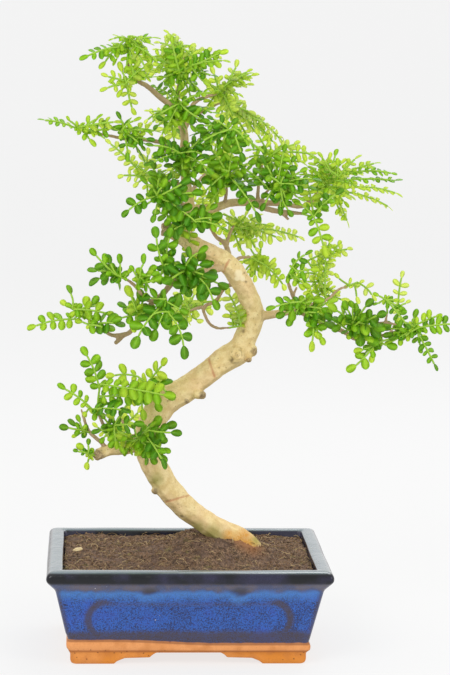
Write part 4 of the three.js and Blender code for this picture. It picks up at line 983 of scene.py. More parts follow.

# Each spray: its name, tone from dark 0 to pale 1, leaflet length, the points of its shoot as x,
# z and depth, and its leaves as x and z of the base, x and z of the tip, and the tip's depth.
# The tone is partly the leaves' own varied green and partly painted backlight, pale at the back
spray_rows = [
    ("spray_base_1", 0.5, 10.5, [(-86, 224, -34), (-85, 240, -36), (-84, 247, -38)],
     [(-83, 248, -14, 240, -46), (-83, 250, -99, 287, -44), (-84, 236, -36, 241, -40),
      (-85, 227, -70, 232, -36)]),
    ("spray_base_2", 0.42, 10, [(-85, 222, -34), (-92, 229, -38)],
     [(-91, 229, -122, 251, -44), (-87, 224, -98, 222, -30), (-86, 222, -55, 227, -50),
      (-86, 222, -70, 220, -42)]),
    ("spray_base_3", 0.4, 10, [(-92, 205, -24), (-98, 207, -28)],
     [(-98, 208, -120, 211, -34), (-97, 208, -104, 221, -30), (-96, 204, -109, 201, -28),
      (-98, 208, -113, 216, -32)]),
    ("spray_base_4", 0.45, 11, [(-86, 183, -24), (-93, 185, -28)],
     [(-92, 185, -108, 188, -30), (-92, 187, -94, 199, -28), (-92, 183, -96, 172, -24),
      (-91, 186, -104, 193, -28)]),
    ("spray_base_5", 0.45, 11, [(-65, 219, 4), (-60, 230, -2), (-40, 252, -20)],
     [(-42, 250, -13, 240, -30), (-39, 253, -21, 275, -24), (-44, 247, -26, 229, -30),
      (-42, 250, -22, 257, -22), (-46, 244, -44, 220, -26), (-44, 248, -32, 242, -28),
      (-48, 259, -78, 262, -22), (-44, 250, -62, 256, -22)]),
    ("spray_base_6", 0.35, 10.5, [(-54, 197, -14), (-40, 206, -26)],
     [(-42, 205, -8, 205, -34), (-44, 200, -20, 173, -34), (-46, 200, -18, 185, -30),
      (-46, 199, -38, 174, -28), (-50, 198, -64, 184, -20), (-44, 204, -26, 218, -30),
      (-46, 202, -22, 198, -26), (-48, 199, -50, 182, -24), (-48, 201, -56, 212, -22),
      (-52, 197, -74, 195, -20), (-52, 197, -64, 192, -18), (-46, 198, -28, 182, -28),
      (-44, 205, -32, 217, -30), (-42, 206, -14, 214, -30), (-46, 198, -22, 177, -30),
      (-50, 197, -62, 186, -18), (-49, 197, -57, 183, -20), (-46, 197, -31, 175, -28)]),
    ("spray_base_7", 0.4, 9.5, [(-74, 205, -27), (-70, 211, -36)],
     [(-71, 210, -44, 215, -44), (-72, 208, -54, 203, -40), (-71, 211, -62, 228, -42),
      (-73, 208, -90, 207, -36), (-72, 206, -68, 190, -34), (-72, 209, -82, 224, -38),
      (-71, 210, -72, 228, -40), (-72, 206, -60, 186, -34), (-74, 206, -84, 196, -30)]),
    ("spray_base_8", 0.5, 9, [(-71, 200, 17), (-77, 204, 26)],
     [(-75, 203, -46, 222, 34), (-74, 202, -62, 216, 28), (-75, 203, -50, 202, 24),
      (-76, 204, -90, 214, 26), (-72, 203, -42, 228, 30)]),
    ("spray_left_1", 0.4, 10.5, [(-98, 313, -10), (-106, 320, -12)],
     [(-105, 321, -112, 344, -6), (-108, 313, -152, 304, -20), (-105, 320, -122, 330, -10),
      (-103, 319, -70, 318, -16), (-102, 320, -86, 333, -12), (-100, 317, -86, 314, -14),
      (-101, 319, -80, 328, -12)]),
    ("spray_left_2", 0.4, 11.5, [(-89, 309, -8), (-92, 308, -14)],
     [(-90, 308, -73, 304, -22), (-89, 312, -62, 310, -26), (-90, 308, -106, 312, -12)]),
    ("spray_left_3", 0.42, 11, [(-59, 350, -30), (-67, 354, -33)],
     [(-66, 355, -94, 379, -40), (-66, 354, -95, 361, -34), (-66, 352, -94, 350, -28),
      (-64, 352, -66, 342, -28), (-63, 353, -56, 360, -34), (-65, 354, -66, 374, -34),
      (-65, 355, -79, 373, -36)]),
    ("spray_left_4", 0.4, 10, [(-51, 343, -28), (-48, 351, -34)],
     [(-49, 352, -42, 373, -38), (-48, 351, -28, 351, -44), (-49, 350, -56, 364, -34),
      (-50, 346, -32, 336, -36), (-49, 350, -34, 363, -36), (-49, 352, -36, 360, -38),
      (-48, 352, -30, 357, -40)]),
    ("spray_left_5", 0.5, 11, [(-45, 315, -15), (-49, 320, -25)],
     [(-50, 321, -58, 343, -30), (-49, 321, -42, 338, -28), (-50, 320, -66, 328, -30),
      (-49, 318, -72, 313, -26), (-48, 317, -52, 302, -24), (-48, 319, -34, 326, -28),
      (-50, 320, -36, 315, -28), (-49, 321, -48, 338, -28), (-50, 321, -56, 341, -28)]),
    ("spray_left_6", 0.3, 12.5, [(-24, 339, -22), (-20, 322, -33)],
     [(-21, 325, -1, 279, -38), (-22, 325, -54, 290, -44), (-22, 330, -2, 321, -36),
      (-23, 333, -40, 324, -30), (-22, 328, -4, 308, -34), (-22, 328, -46, 316, -34),
      (-23, 333, -46, 338, -30), (-23, 327, -36, 295, -40)]),
    ("spray_left_7", 0.25, 11, [(-17, 348, -21), (-25, 363, -30)],
     [(-25, 362, -34, 398, -34), (-24, 362, -16, 380, -32), (-23, 359, -36, 350, -26),
      (-22, 357, -6, 364, -34), (-20, 353, -10, 342, -26), (-24, 363, -20, 398, -32),
      (-25, 358, -31, 346, -26)]),
    ("spray_left_8", 0.1, 12, [(4, 357, -16), (-3, 362, -28)],
     [(-1, 361, 13, 383, -38), (-2, 361, -24, 348, -44), (-1, 361, -22, 370, -34),
      (2, 359, 22, 352, -34), (0, 360, -8, 338, -32), (2, 358, 10, 334, -36), (4, 357, 34, 344, -30),
      (3, 357, 28, 324, -34), (2, 358, 16, 366, -38), (3, 357, 18, 338, -26), (1, 360, -14, 330, -34),
      (3, 358, 22, 364, -34), (3, 362, 12, 375, -30)]),
    ("spray_left_9", 0.85, 10, [(2, 323, 30), (-5, 322, 37)],
     [(-3, 323, -18, 306, 44), (0, 323, 12, 309, 40), (-3, 323, -14, 338, 42), (0, 324, 8, 344, 38),
      (-2, 322, -4, 306, 44), (0, 324, 18, 326, 36), (-2, 322, -24, 326, 44), (0, 324, 14, 336, 40),
      (-1, 323, -30, 312, 44), (8, 326, 28, 333, 40), (8, 331, 22, 326, 40)]),
    ("spray_left_10", 0.6, 9, [(37, 306, 2), (43, 307, 0)],
     [(41, 308, 34, 344, 12), (42, 308, 53, 320, 14), (42, 308, 46, 330, 12), (41, 308, 36, 328, 12)]),
    ("spray_right_1", 0.3, 10.5, [(101, 324, -5), (103, 329, -14)],
     [(102, 325, 73, 325, -20), (102, 325, 92, 310, -18), (103, 326, 132, 324, -20),
      (116, 318, 119, 286, -26), (103, 327, 114, 314, -16), (104, 325, 126, 314, -18),
      (103, 328, 124, 334, -18), (108, 321, 134, 306, -20), (103, 328, 112, 338, -18),
      (102, 324, 82, 316, -20), (108, 321, 132, 316, -20), (113, 318, 138, 331, -16),
      (116, 317, 128, 291, -24)]),
    ("spray_right_2", 0.42, 9, [(90, 353, -18), (94, 361, -21)],
     [(94, 361, 112, 380, -26), (93, 357, 102, 350, -22), (93, 358, 120, 362, -24),
      (93, 358, 110, 350, -22), (94, 358, 108, 343, -22), (93, 359, 111, 344, -22),
      (93, 359, 98, 371, -20)]),
    ("spray_right_3", 0.5, 8.5, [(129, 333, 16), (121, 353, 24), (112, 366, 30)],
     [(113, 365, 153, 383, 38), (121, 353, 134, 366, 40), (113, 365, 140, 390, 38),
      (116, 362, 126, 388, 36), (118, 357, 98, 356, 30), (122, 350, 104, 348, 26),
      (122, 350, 138, 338, 26), (126, 342, 108, 336, 24), (128, 337, 148, 330, 22),
      (127, 340, 106, 326, 22), (118, 358, 132, 368, 30), (128, 336, 122, 320, 20),
      (124, 346, 118, 330, 24), (121, 352, 110, 340, 24), (118, 360, 132, 392, 40),
      (125, 345, 140, 335, 22)]),
    ("spray_right_4", 0.6, 8.5, [(145, 345, 24), (152, 348, 26)],
     [(150, 347, 176, 334, 22), (148, 347, 134, 357, 24), (150, 346, 158, 330, 24)]),
    ("spray_right_5", 0.22, 11.5, [(150, 300, -12), (153, 311, -23)],
     [(152, 309, 153, 333, -34), (153, 309, 170, 334, -32), (153, 309, 182, 322, -34),
      (152, 306, 182, 306, -28), (152, 308, 134, 328, -30), (152, 306, 172, 298, -30),
      (151, 304, 136, 314, -26), (153, 310, 164, 316, -36), (152, 305, 158, 322, -34),
      (152, 307, 190, 310, -26), (151, 305, 128, 318, -26), (152, 308, 145, 332, -28),
      (152, 305, 176, 293, -26)]),
    ("spray_right_6", 0.3, 10.5, [(176, 298, -14), (174, 291, -20)],
     [(175, 294, 151, 264, -24), (176, 297, 194, 288, -22), (175, 296, 164, 288, -18),
      (175, 296, 172, 274, -20), (175, 296, 161, 277, -20), (170, 290, 157, 284, -22),
      (182, 296, 170, 284, -16), (176, 297, 196, 299, -20)]),
    ("spray_right_7", 0.45, 9, [(186, 321, -28), (185, 329, -32)],
     [(186, 323, 173, 340, -36), (186, 322, 202, 324, -32), (186, 322, 208, 306, -30),
      (186, 322, 172, 328, -30), (186, 324, 196, 334, -34)]),
    ("spray_right_8", 0.45, 9, [(203, 306, -16), (212, 307, -18)],
     [(211, 309, 254, 312, -22), (206, 304, 235, 267, -24), (206, 307, 214, 324, -20),
      (205, 305, 186, 291, -20), (204, 306, 182, 306, -18), (207, 305, 198, 296, -22),
      (208, 306, 224, 296, -16), (211, 308, 238, 321, -20), (205, 306, 194, 316, -20),
      (205, 306, 184, 299, -20), (206, 304, 219, 283, -22), (204, 306, 188, 297, -18)]),
    ("spray_right_9", 0.98, 9, [(196, 316, 9), (196, 325, 15)],
     [(196, 321, 199, 361, 20), (196, 321, 187, 336, 16), (197, 322, 208, 334, 18)]),
    ("spray_middle_1", 0.62, 8.5, [(39, 400, 28), (48, 400, 35)],
     [(47, 400, 107, 391, 44), (46, 400, 76, 404, 40), (46, 400, 66, 414, 38), (45, 400, 62, 382, 38),
      (42, 400, 44, 380, 34), (44, 400, 36, 416, 32), (47, 400, 72, 388, 42), (44, 400, 54, 416, 36),
      (42, 400, 24, 416, 30), (40, 400, 26, 408, 30), (43, 400, 34, 386, 32), (46, 400, 66, 396, 40),
      (45, 400, 58, 386, 36), (43, 400, 44, 381, 36), (46, 399, 64, 377, 38), (43, 400, 28, 384, 30),
      (46, 400, 86, 390, 42)]),
    ("spray_middle_2", 0.38, 9.5, [(55, 372, 20), (62, 371, 24)],
     [(57, 368, 83, 357, 32), (58, 370, 70, 362, 28), (56, 371, 44, 366, 20), (57, 371, 56, 354, 22),
      (57, 370, 92, 343, 30), (56, 371, 52, 386, 24), (58, 371, 66, 354, 26), (57, 370, 46, 356, 22),
      (59, 370, 80, 350, 30), (56, 372, 66, 388, 24), (58, 369, 60, 349, 26)]),
    ("spray_middle_3", 0.12, 10, [(-5, 404, -7), (-2, 405, -16)],
     [(-3, 405, 36, 399, -22), (-4, 405, -20, 408, -24), (-4, 404, -24, 394, -20),
      (-4, 404, -16, 382, -20), (-3, 405, 28, 411, -20), (-2, 405, 24, 421, -18),
      (-4, 404, -28, 388, -18)]),
    ("spray_middle_4", 0.65, 8.5, [(12, 410, 32), (12, 415, 40)],
     [(12, 413, 32, 440, 48), (12, 413, 30, 420, 42), (12, 412, -2, 430, 40), (12, 413, 18, 440, 46),
      (12, 412, 32, 404, 40), (12, 412, 24, 394, 36), (12, 411, 36, 391, 40)]),
    ("spray_upper_1", 0.25, 10, [(103, 414, -6), (110, 412, -10)],
     [(108, 413, 127, 376, -16), (106, 413, 98, 427, -14)]),
    ("spray_upper_2", 0.34, 8.5, [(119, 431, 28), (132, 435, 34)],
     [(127, 434, 197, 434, 42), (130, 430, 149, 402, 36), (126, 434, 135, 475, 34),
      (127, 434, 190, 420, 38), (126, 434, 152, 448, 34), (125, 433, 110, 446, 30),
      (126, 434, 146, 462, 36), (124, 433, 114, 454, 30), (131, 431, 143, 407, 34)]),
    ("spray_upper_3", 0.38, 8.5, [(117, 435, 14), (126, 443, 10), (135, 448, 7)],
     [(134, 448, 192, 453, 4), (134, 448, 176, 464, 6), (130, 445, 162, 438, 0),
      (134, 448, 196, 446, 2), (128, 444, 148, 430, 2), (132, 447, 156, 470, 6),
      (127, 443, 118, 472, 8), (124, 441, 102, 462, 8), (126, 442, 108, 450, 6),
      (122, 439, 104, 430, 8), (130, 445, 136, 466, 8), (126, 443, 102, 476, 8),
      (124, 441, 94, 452, 8), (124, 441, 110, 438, 4), (123, 440, 110, 459, 6),
      (124, 441, 112, 468, 8), (122, 439, 102, 453, 6), (126, 443, 128, 471, 8),
      (130, 446, 143, 466, 8), (128, 445, 110, 462, 8)]),
    ("spray_upper_4", 0.12, 9.5, [(72, 436, -3), (80, 440, -12)],
     [(77, 438, 116, 438, -20), (76, 438, 86, 478, -16), (77, 438, 106, 426, -18),
      (77, 439, 106, 456, -18), (75, 437, 58, 454, -14), (74, 437, 84, 413, -14),
      (77, 438, 66, 466, -16), (78, 439, 96, 444, -18), (76, 438, 96, 468, -16),
      (78, 439, 120, 448, -20), (76, 438, 94, 434, -14), (76, 437, 100, 423, -14),
      (75, 436, 86, 419, -14), (76, 437, 93, 410, -14), (75, 436, 65, 417, -14),
      (74, 437, 54, 441, -12), (77, 437, 90, 422, -14)]),
    ("spray_upper_5", 0.25, 8.5, [(65, 461, 20), (72, 467, 23)],
     [(70, 465, 116, 470, 28), (68, 464, 58, 492, 22), (67, 463, 92, 456, 24), (69, 465, 50, 474, 22),
      (71, 466, 100, 481, 26), (68, 464, 50, 456, 20), (70, 466, 84, 478, 24), (66, 463, 76, 446, 22),
      (69, 465, 106, 462, 26), (70, 466, 70, 486, 24), (67, 462, 46, 466, 22)]),
    ("spray_upper_6", 0.15, 10, [(33, 438, 0), (34, 449, -8)],
     [(34, 447, 40, 494, -14), (36, 449, 65, 409, -20), (34, 446, 50, 458, -12),
      (34, 447, 16, 460, -10), (34, 443, 50, 430, -14), (34, 447, 26, 474, -10),
      (34, 445, 14, 442, -8), (34, 447, 58, 464, -14), (34, 444, 22, 430, -8), (34, 446, 8, 430, -10),
      (35, 443, 14, 416, -10), (35, 446, 52, 436, -12)]),
    ("spray_upper_7", 0.85, 8.5, [(27, 514, 30), (36, 508, 38)],
     [(34, 515, 80, 477, 52), (36, 514, 72, 496, 46), (34, 515, 58, 508, 42), (35, 515, 62, 486, 46),
      (33, 515, 46, 498, 40), (36, 514, 50, 518, 42), (32, 515, 42, 486, 40), (34, 515, 93, 473, 54),
      (34, 514, 54, 480, 44), (34, 514, 74, 484, 48)]),
    ("spray_upper_8", 0.7, 8.5, [(13, 451, 45), (20, 455, 53)],
     [(18, 454, 58, 448, 64), (18, 454, 26, 490, 66), (17, 453, 40, 468, 58), (16, 453, 30, 438, 54),
      (17, 454, 6, 472, 54), (17, 453, 46, 480, 60), (16, 453, -2, 456, 52), (18, 453, 54, 460, 60),
      (17, 453, 2, 440, 54)]),
    ("spray_crown_1", 0.6, 8.5, [(-60, 561, -12), (-60, 570, -13)],
     [(-60, 562, -38, 568, -18), (-60, 561, -28, 548, -18), (-60, 562, -103, 556, -24),
      (-60, 562, -86, 547, -18), (-60, 562, -34, 556, -20), (-60, 561, -62, 542, -16),
      (-60, 561, -42, 544, -20), (-60, 562, -80, 560, -12), (-60, 561, -40, 554, -16),
      (-60, 561, -74, 550, -14)]),
    ("spray_crown_2", 0.55, 8.5, [(-55, 537, -8), (-61, 533, -15)],
     [(-59, 534, -85, 527, -22), (-58, 535, -84, 540, -18), (-59, 534, -70, 522, -16),
      (-58, 534, -55, 504, -12), (-57, 536, -38, 548, -12), (-56, 536, -68, 550, -14),
      (-57, 535, -30, 540, -12), (-57, 537, -40, 552, -12)]),
    ("spray_crown_3", 0.55, 8.5, [(-9, 555, 14), (-11, 563, 16)],
     [(-10, 560, -27, 582, 28), (-10, 561, -17, 574, 22), (-10, 559, -38, 564, 20),
      (-10, 558, 10, 566, 20), (-10, 560, 2, 568, 22), (-10, 558, -32, 548, 18),
      (-10, 557, -44, 556, 20), (-10, 558, 8, 552, 18), (-10, 557, -22, 538, 16),
      (-10, 560, -36, 572, 22), (-10, 558, 25, 559, 18), (-10, 557, -40, 540, 18),
      (-10, 561, -25, 577, 22), (-10, 558, -36, 543, 16), (-10, 556, -20, 530, 14)]),
    ("spray_crown_4", 0.22, 9, [(-12, 541, 9), (-3, 548, -1)],
     [(-5, 547, 34, 556, -10), (-5, 547, 14, 562, -6), (-6, 546, 22, 540, -8), (-8, 544, -32, 556, 0),
      (-6, 546, 14, 530, -8), (-7, 545, -26, 534, 0), (-5, 547, -14, 564, -4), (-6, 546, 26, 562, -8),
      (-8, 544, -34, 536, 0), (-9, 543, -38, 546, 2), (-7, 545, 0, 528, -6), (-9, 543, -16, 524, 2),
      (-8, 543, -34, 531, 0), (-5, 547, 29, 564, -10)]),
    ("spray_crown_5", 0.5, 8.5, [(20, 524, 16), (29, 529, 18)],
     [(27, 528, 60, 544, 24), (27, 528, 42, 554, 22), (25, 527, 48, 522, 24), (26, 527, 18, 548, 20),
      (26, 528, 54, 548, 24), (25, 527, 56, 534, 24), (24, 526, 36, 512, 22), (25, 527, 10, 538, 16),
      (22, 525, 24, 506, 18), (26, 528, 44, 534, 20), (26, 527, 12, 536, 16), (25, 526, 15, 512, 18),
      (27, 529, 54, 541, 22), (24, 526, 9, 507, 18), (28, 529, 56, 546, 22)]),
    ("spray_crown_6", 0.14, 9, [(-13, 507, 2), (-12, 513, -9)],
     [(-12, 511, 24, 528, -22), (-12, 512, -24, 534, -22), (-12, 510, 10, 504, -16),
      (-12, 510, -36, 502, -14), (-12, 512, -20, 530, -14), (-12, 509, 2, 490, -16),
      (-12, 509, -26, 488, -12), (-12, 511, 8, 520, -18), (-12, 510, 24, 506, -18),
      (-12, 510, 14, 496, -18), (-12, 509, -18, 484, -12), (-12, 510, 9, 497, -16)]),
    ("spray_crown_7", 0.14, 9, [(27, 490, -20), (34, 491, -25)],
     [(31, 491, 54, 478, -28), (30, 491, 14, 504, -30), (30, 491, 40, 500, -30),
      (30, 491, 24, 474, -28), (29, 490, 4, 496, -26), (31, 491, 42, 472, -28),
      (29, 490, 10, 484, -26), (29, 490, 12, 472, -24), (31, 491, 48, 463, -28),
      (30, 491, 5, 490, -24)]),
    ("spray_crown_8", 0.42, 8.5, [(-97, 487, -16), (-105, 490, -17)],
     [(-103, 489, -142, 499, -24), (-98, 488, -84, 503, -22), (-98, 488, -66, 498, -22),
      (-98, 488, -78, 490, -20), (-99, 488, -90, 476, -20), (-98, 488, -80, 483, -20),
      (-90, 487, -68, 492, -20), (-104, 490, -117, 501, -24)]),
    ("spray_crown_9", 0.35, 8.5, [(-59, 481, -12), (-63, 487, -18)],
     [(-61, 484, -50, 502, -26), (-62, 485, -68, 506, -22), (-61, 484, -44, 486, -22),
      (-61, 484, -80, 494, -20), (-60, 483, -40, 476, -20), (-61, 484, -38, 490, -22),
      (-60, 484, -36, 481, -20), (-60, 483, -43, 472, -18)]),
    ("spray_crown_10", 0.5, 8.5, [(-34, 444, 18), (-42, 447, 23)],
     [(-40, 447, -80, 481, 30), (-40, 446, -69, 448, 28), (-39, 446, -58, 462, 30),
      (-38, 445, -54, 438, 26), (-38, 446, -34, 468, 26), (-38, 445, -40, 426, 24),
      (-37, 445, -18, 456, 24), (-38, 446, -40, 474, 28)]),
    ("spray_crown_11", 0.12, 10.5, [(-23, 425, -16), (-30, 427, -20)],
     [(-29, 426, -65, 412, -28), (-28, 426, -46, 446, -28), (-26, 426, -8, 438, -24),
      (-25, 425, -6, 416, -22), (-26, 426, -36, 404, -24), (-26, 425, -14, 406, -24),
      (-27, 426, -24, 444, -26), (-28, 426, -48, 418, -26), (-26, 426, 2, 430, -24),
      (-26, 427, -2, 444, -24), (-26, 426, 9, 434, -24)]),
    ("spray_crown_12", 0.12, 9.5, [(-8, 466, 1), (-10, 468, -11)],
     [(-9, 467, -42, 458, -24), (-9, 467, 20, 452, -28), (-9, 467, -22, 446, -18),
      (-9, 467, 16, 468, -20), (-9, 467, 2, 484, -18), (-9, 467, 4, 448, -20),
      (-9, 467, -34, 468, -20), (-9, 467, -8, 446, -18), (-9, 467, 16, 481, -20),
      (-9, 467, -43, 478, -20), (-9, 467, 13, 488, -18), (-9, 466, 7, 439, -18)]),
    ("spray_crown_13", 0.6, 8.5, [(-19, 501, 43), (-25, 506, 51)],
     [(-22, 504, -46, 497, 60), (-22, 504, -14, 532, 64), (-22, 503, -2, 516, 54),
      (-22, 503, -42, 494, 52), (-21, 502, -12, 484, 50), (-22, 503, 2, 500, 52),
      (-22, 504, -30, 480, 52), (-22, 503, -44, 507, 54)]),
]
# The outermost sprays hold their leaves level, so that they are seen from the edge
level_sprays = ["spray_upper_2", "spray_upper_3", "spray_crown_1"]
# The tree is kept clipped. These outlines, as seen from the front, are how far its leaves reach
clipped_outlines = [
    [(-84, 579), (-56, 579), (-36, 576), (-27, 583), (-12, 580), (10, 568), (26, 566), (60, 544),
     (54, 531), (44, 526), (56, 513), (80, 492), (104, 480), (124, 471), (152, 468), (192, 456),
     (196, 438), (168, 428), (150, 424), (147, 408), (136, 408), (136, 426), (118, 430), (108, 428),
     (100, 424), (84, 431), (64, 430), (52, 428), (44, 440), (28, 434),
     (16, 424), (-4, 412), (-30, 402), (-46, 412), (-49, 426), (-53, 440), (-57, 456), (-72, 476),
     (-58, 477), (-48, 482), (-52, 494), (-42, 498), (-24, 504), (-24, 520), (-50, 536), (-58, 530),
     (-80, 526), (-84, 538), (-64, 541), (-86, 549), (-102, 556), (-80, 562)],
    [(-100, 484), (-100, 502), (-84, 504), (-54, 502), (-48, 484)],
    [(-14, 410), (30, 412), (44, 417), (68, 402), (96, 392), (92, 387), (72, 386), (64, 376), (82, 362),
     (78, 351), (62, 354), (54, 364), (44, 378), (34, 388), (22, 394), (-4, 396)],
    [(-36, 398), (-22, 380), (-4, 376), (10, 384), (20, 362), (34, 350), (30, 324), (14, 314), (0, 305),
     (-18, 300), (-24, 322), (-34, 350)],
    [(78, 366), (92, 386), (112, 380), (150, 386), (148, 366), (158, 348), (140, 342), (150, 332),
     (178, 328), (196, 318), (232, 314), (214, 296), (182, 296), (160, 298), (134, 308), (106, 312),
     (78, 318), (76, 328), (100, 332), (88, 346)],
    [(-92, 196), (-88, 228), (-78, 254), (-50, 260), (-30, 256), (-28, 230), (-16, 212), (-24, 180),
     (-38, 176), (-62, 184)],
]


def nearest_spot(spot, line):
    """The point of a line nearest to a spot."""
    best = line[0]
    for start, end in zip(line, line[1:]):
        along = min(1, max(0, (spot - start).dot(end - start) / (end - start).length_squared))
        here = start.lerp(end, along)
        if (here - spot).length < (best - spot).length:
            best = here
    return best


def part_of(line, share):
    """The point at a share of a line's length."""
    lengths = [(end - start).length for start, end in zip(line, line[1:])]
    left = share * sum(lengths)
    for start, end, length in zip(line, line[1:], lengths):
        if left <= length:
            return start.lerp(end, left / length)
        left -= length
    return line[-1]


def within(x, z, outline):
    """Whether a spot lies inside a closed outline."""
    inside = False
    for (x1, z1), (x2, z2) in zip(outline, outline[1:] + outline[:1]):
        if (z1 > z) != (z2 > z) and x < x1 + (x2 - x1) * (z - z1) / (z2 - z1):
            inside = not inside
    return inside


def blade_middle(base_x, base_z, tip_x, tip_z, *_):
    """Where most of a leaf's blade lies, as seen from the front."""
    return (base_x + 2 * tip_x) / 3, (base_z + 2 * tip_z) / 3


chance = random.Random(5)
taken = [blade_middle(*leaf) for *_, leaves in spray_rows for leaf in leaves]


def filled_out(leaves, shoot_rows, leaflet_length):
    """The leaves and up to three more, each where there is most room inside the outlines."""
    leaves = list(leaves)
    for _ in range(3):
        best, most_room = None, 4
        for _ in range(24):
            base_x, base_z, depth = chance.choice(shoot_rows)
            heading, reach = chance.uniform(0, math.tau), chance.uniform(2.4, 4.2) * leaflet_length
            tip_x, tip_z = base_x + reach * math.cos(heading), base_z + reach * math.sin(heading)
            middle = blade_middle(base_x, base_z, tip_x, tip_z)
            room = min(math.dist(middle, other) for other in taken)
            if room > most_room and any(within(tip_x, tip_z, outline) and within(*middle, outline)
                                        for outline in clipped_outlines):
                best, most_room = (base_x, base_z, tip_x, tip_z, depth + chance.uniform(-14, 22)), room
        if best:
            leaves.append(best)
            taken.append(blade_middle(*best))
    return leaves


def arched(start, end, bend):
    """Nine points from start to end, which lie off the straight line by bend at the middle."""
    return [start.lerp(end, step / 8) + bend * 4 * step / 8 * (1 - step / 8) for step in range(9)]


def line_rows(points, facing, tone, size, thickness, bare_part):
    """The points of a shoot or rib, each with what the leaf tree reads from it."""
    last = len(points) - 1
    return [(at(*point), facing, tone, size / 1000,
             thickness[0] + (thickness[1] - thickness[0]) * (step / last), bare_part)
            for step, point in enumerate(points)]


def rib_line(start, via, end, bend):
    """A rib's points and the share of it that is bare. Where via isn't the start, it is bare to via."""
    if start == via:
        return arched(start, end, bend), bare_foot
    bare_length, leafy_length = (via - start).length, (end - via).length
    points = [start, start.lerp(via, 0.5)] + arched(via, end, bend)
    return points, bare_foot + (1 - bare_foot) * bare_length / (bare_length + leafy_length)


crown_foot, bud_length, joint_reach, bare_foot = 380, 6, 6, 0.1
for number, (name, tone, leaflet_length, shoot_rows, leaves) in enumerate(spray_rows):
    shoot = [seen(*row) for row in shoot_rows]
    shoot.append(shoot[-1] + bud_length * (shoot[-1] - shoot[-2]).normalized())
    if shoot_rows[0][1] > crown_foot:
        leaves = filled_out(leaves, shoot_rows, leaflet_length)
    lines = [line_rows([part_of(shoot, step / 6) for step in range(7)],
                       Vector((0, -1, 0)), tone, 0, (0.85, 0.35), 0)]
    for order, (base_x, base_z, tip_x, tip_z, depth) in enumerate(leaves):
        via = seen(base_x, base_z, shoot_rows[-1][2])
        start = nearest_spot(via, shoot)
        if (via - start).length < joint_reach:
            start = via = part_of(shoot, 0.98 - 0.86 * ((order * 5) % len(leaves)) / len(leaves))
        tip = seen(tip_x, tip_z, depth)
        upturned = 1.8 if start.z > crown_foot else 0.9
        facing = Vector((chance.uniform(-0.5, 0.5), -0.9, chance.uniform(0.1, upturned)))
        if name in level_sprays:
            facing.z = chance.uniform(1.2, 3)
        facing.normalize()
        # Leaves further back are paler on top of their own varied green: painted backlight
        tone_with_backlight = min(1, max(0, tone + chance.uniform(-0.24, 0.34) + 0.005 * tip.y))
        length = (tip - start).length
        size = min(leaflet_length * chance.uniform(0.88, 1.1), 0.5 * length)
        end = tip + (start - tip).normalized() * 0.85 * size
        arch = 0.06 * facing + chance.uniform(-0.05, 0.05) * (tip - start).normalized().cross(facing)
        points, bare_part = rib_line(start, via, end, arch * length)
        lines.append(line_rows(points, facing, tone_with_backlight, size, (0.2, 0.12), bare_part))
    rows = [row for line in lines for row in line]
    edges, first = [], 0
    for line in lines:
        edges += [(first + step, first + step + 1) for step in range(len(line) - 1)]
        first += len(line)
    data = bpy.data.meshes.new(name)
    data.from_pydata([row[0] for row in rows], edges, [])
    for column, label in enumerate(("facing", "tone", "leaflet_size", "thickness", "bare_part"), 1):
        store(data, label, [row[column] for row in rows])
    spray = placed("leaves_of_" + name, data)
    grown(spray, leaf_tree, {
        "Leaflet": leaflet, "Leaflet spacing": 0.68 * leaflet_length / 1000,
        "Leaflet breadth": min(0.96, 0.68 + 0.1 * (leaflet_length - 8)),
        "Leaflet angle": math.radians(66),
        "Seed": number, "Leaf finish": leaf_green, "Rib finish": rib_green})
    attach(spray, "root")
    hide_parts(name)
bpy.data.objects.remove(leaflet)

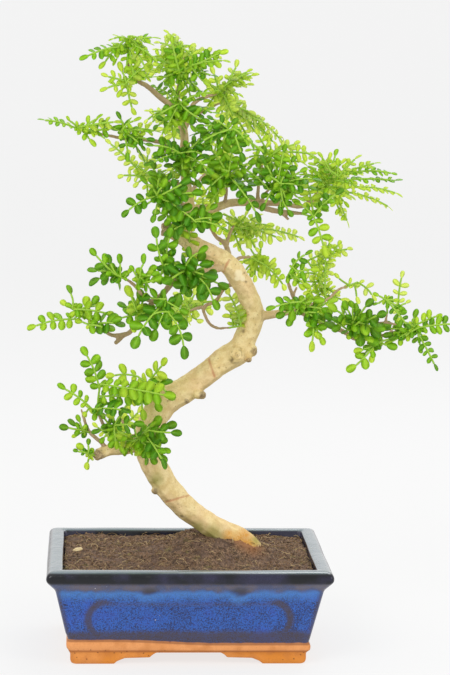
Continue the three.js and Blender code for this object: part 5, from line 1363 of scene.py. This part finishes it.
# The stage is a wide round sheet of white paper, curved up all the way round so that no edge is
# seen from any side. A pale sky and three soft lamps give even studio light.
flat_reach, bend_steps, paper_height, spokes = 7, 12, 3, 64
bend_turns = [turn * math.pi / (2 * bend_steps) for turn in range(1, bend_steps + 1)]
backdrop_rows = ([(flat_reach - 0.2, 0), (flat_reach, 0)]
                 + [(flat_reach + math.sin(turn), 1 - math.cos(turn)) for turn in bend_turns]
                 + [(flat_reach + 1, paper_height)])
backdrop_data = bpy.data.meshes.new("backdrop")
backdrop_data.from_pydata(
    [(reach * math.cos(math.tau * spoke / spokes), reach * math.sin(math.tau * spoke / spokes), height)
     for reach, height in backdrop_rows for spoke in range(spokes)], [],
    [list(range(spokes))] + [
        [(row + out) * spokes + (spoke + on) % spokes for out, on in ((0, 0), (1, 0), (1, 1), (0, 1))]
        for row in range(len(backdrop_rows) - 1) for spoke in range(spokes)])
backdrop_data.shade_smooth()
backdrop = placed("backdrop", backdrop_data)
paper, sheet, place = blank_finish("white paper")
fibre_grain = grain(place, 3)
finished(sheet, {
    "Base Color": fibre_grain.tint(paint(120, 120, 120), paint(122, 122, 122)),
    "Emission Color": (1, 1, 1, 1),
    "Emission Strength": 0.735,
    "Roughness": 1.0,
    "Specular IOR Level": 0.0,
}, fibre_grain, 0.001)
backdrop_data.materials.append(paper)

sky = bpy.data.worlds.new("studio")
sky.use_nodes = True
sky.node_tree.nodes["Background"].inputs["Color"].default_value = (1, 1, 1, 1)
sky.node_tree.nodes["Background"].inputs["Strength"].default_value = 0.8
bpy.context.scene.world = sky
half_way_up = Vector((0, 0, 0.3))
for name, spot, size, power in (("key", (-0.9, -1.3, 1.5), 0.9, 12),
                                ("fill", (1.3, -1.0, 1.0), 0.8, 5),
                                ("back", (0.5, 1.0, 1.6), 1.0, 8)):
    lamp = bpy.data.lights.new(name, "AREA")
    lamp.size, lamp.energy = size, power
    holder = placed(name, lamp)
    holder.location = spot
    holder.rotation_euler = (half_way_up - Vector(spot)).to_track_quat("-Z", "Y").to_euler()

# The camera stands where the photograph was taken: turned a little to the right, tipped down, and
# rolled by just under a degree
turned, tipped, rolled = math.radians(3.54), math.radians(8.26), math.radians(-0.91)
camera_data = bpy.data.cameras.new("camera")
camera_data.lens, camera_data.clip_end = 120.42, 20
camera = placed("camera", camera_data)
ahead = Vector((math.sin(turned) * math.cos(tipped), math.cos(turned) * math.cos(tipped),
                -math.sin(tipped)))
right = Quaternion(ahead, rolled) @ ahead.cross(Vector((0, 0, 1))).normalized()
camera.matrix_world = Matrix.Translation(at(-96.24, -2097.69, 601.08)) @ Matrix(
    (right, right.cross(ahead), -ahead)).transposed().to_4x4()
bpy.context.scene.camera = camera
bpy.context.scene.view_settings.view_transform = "Standard"
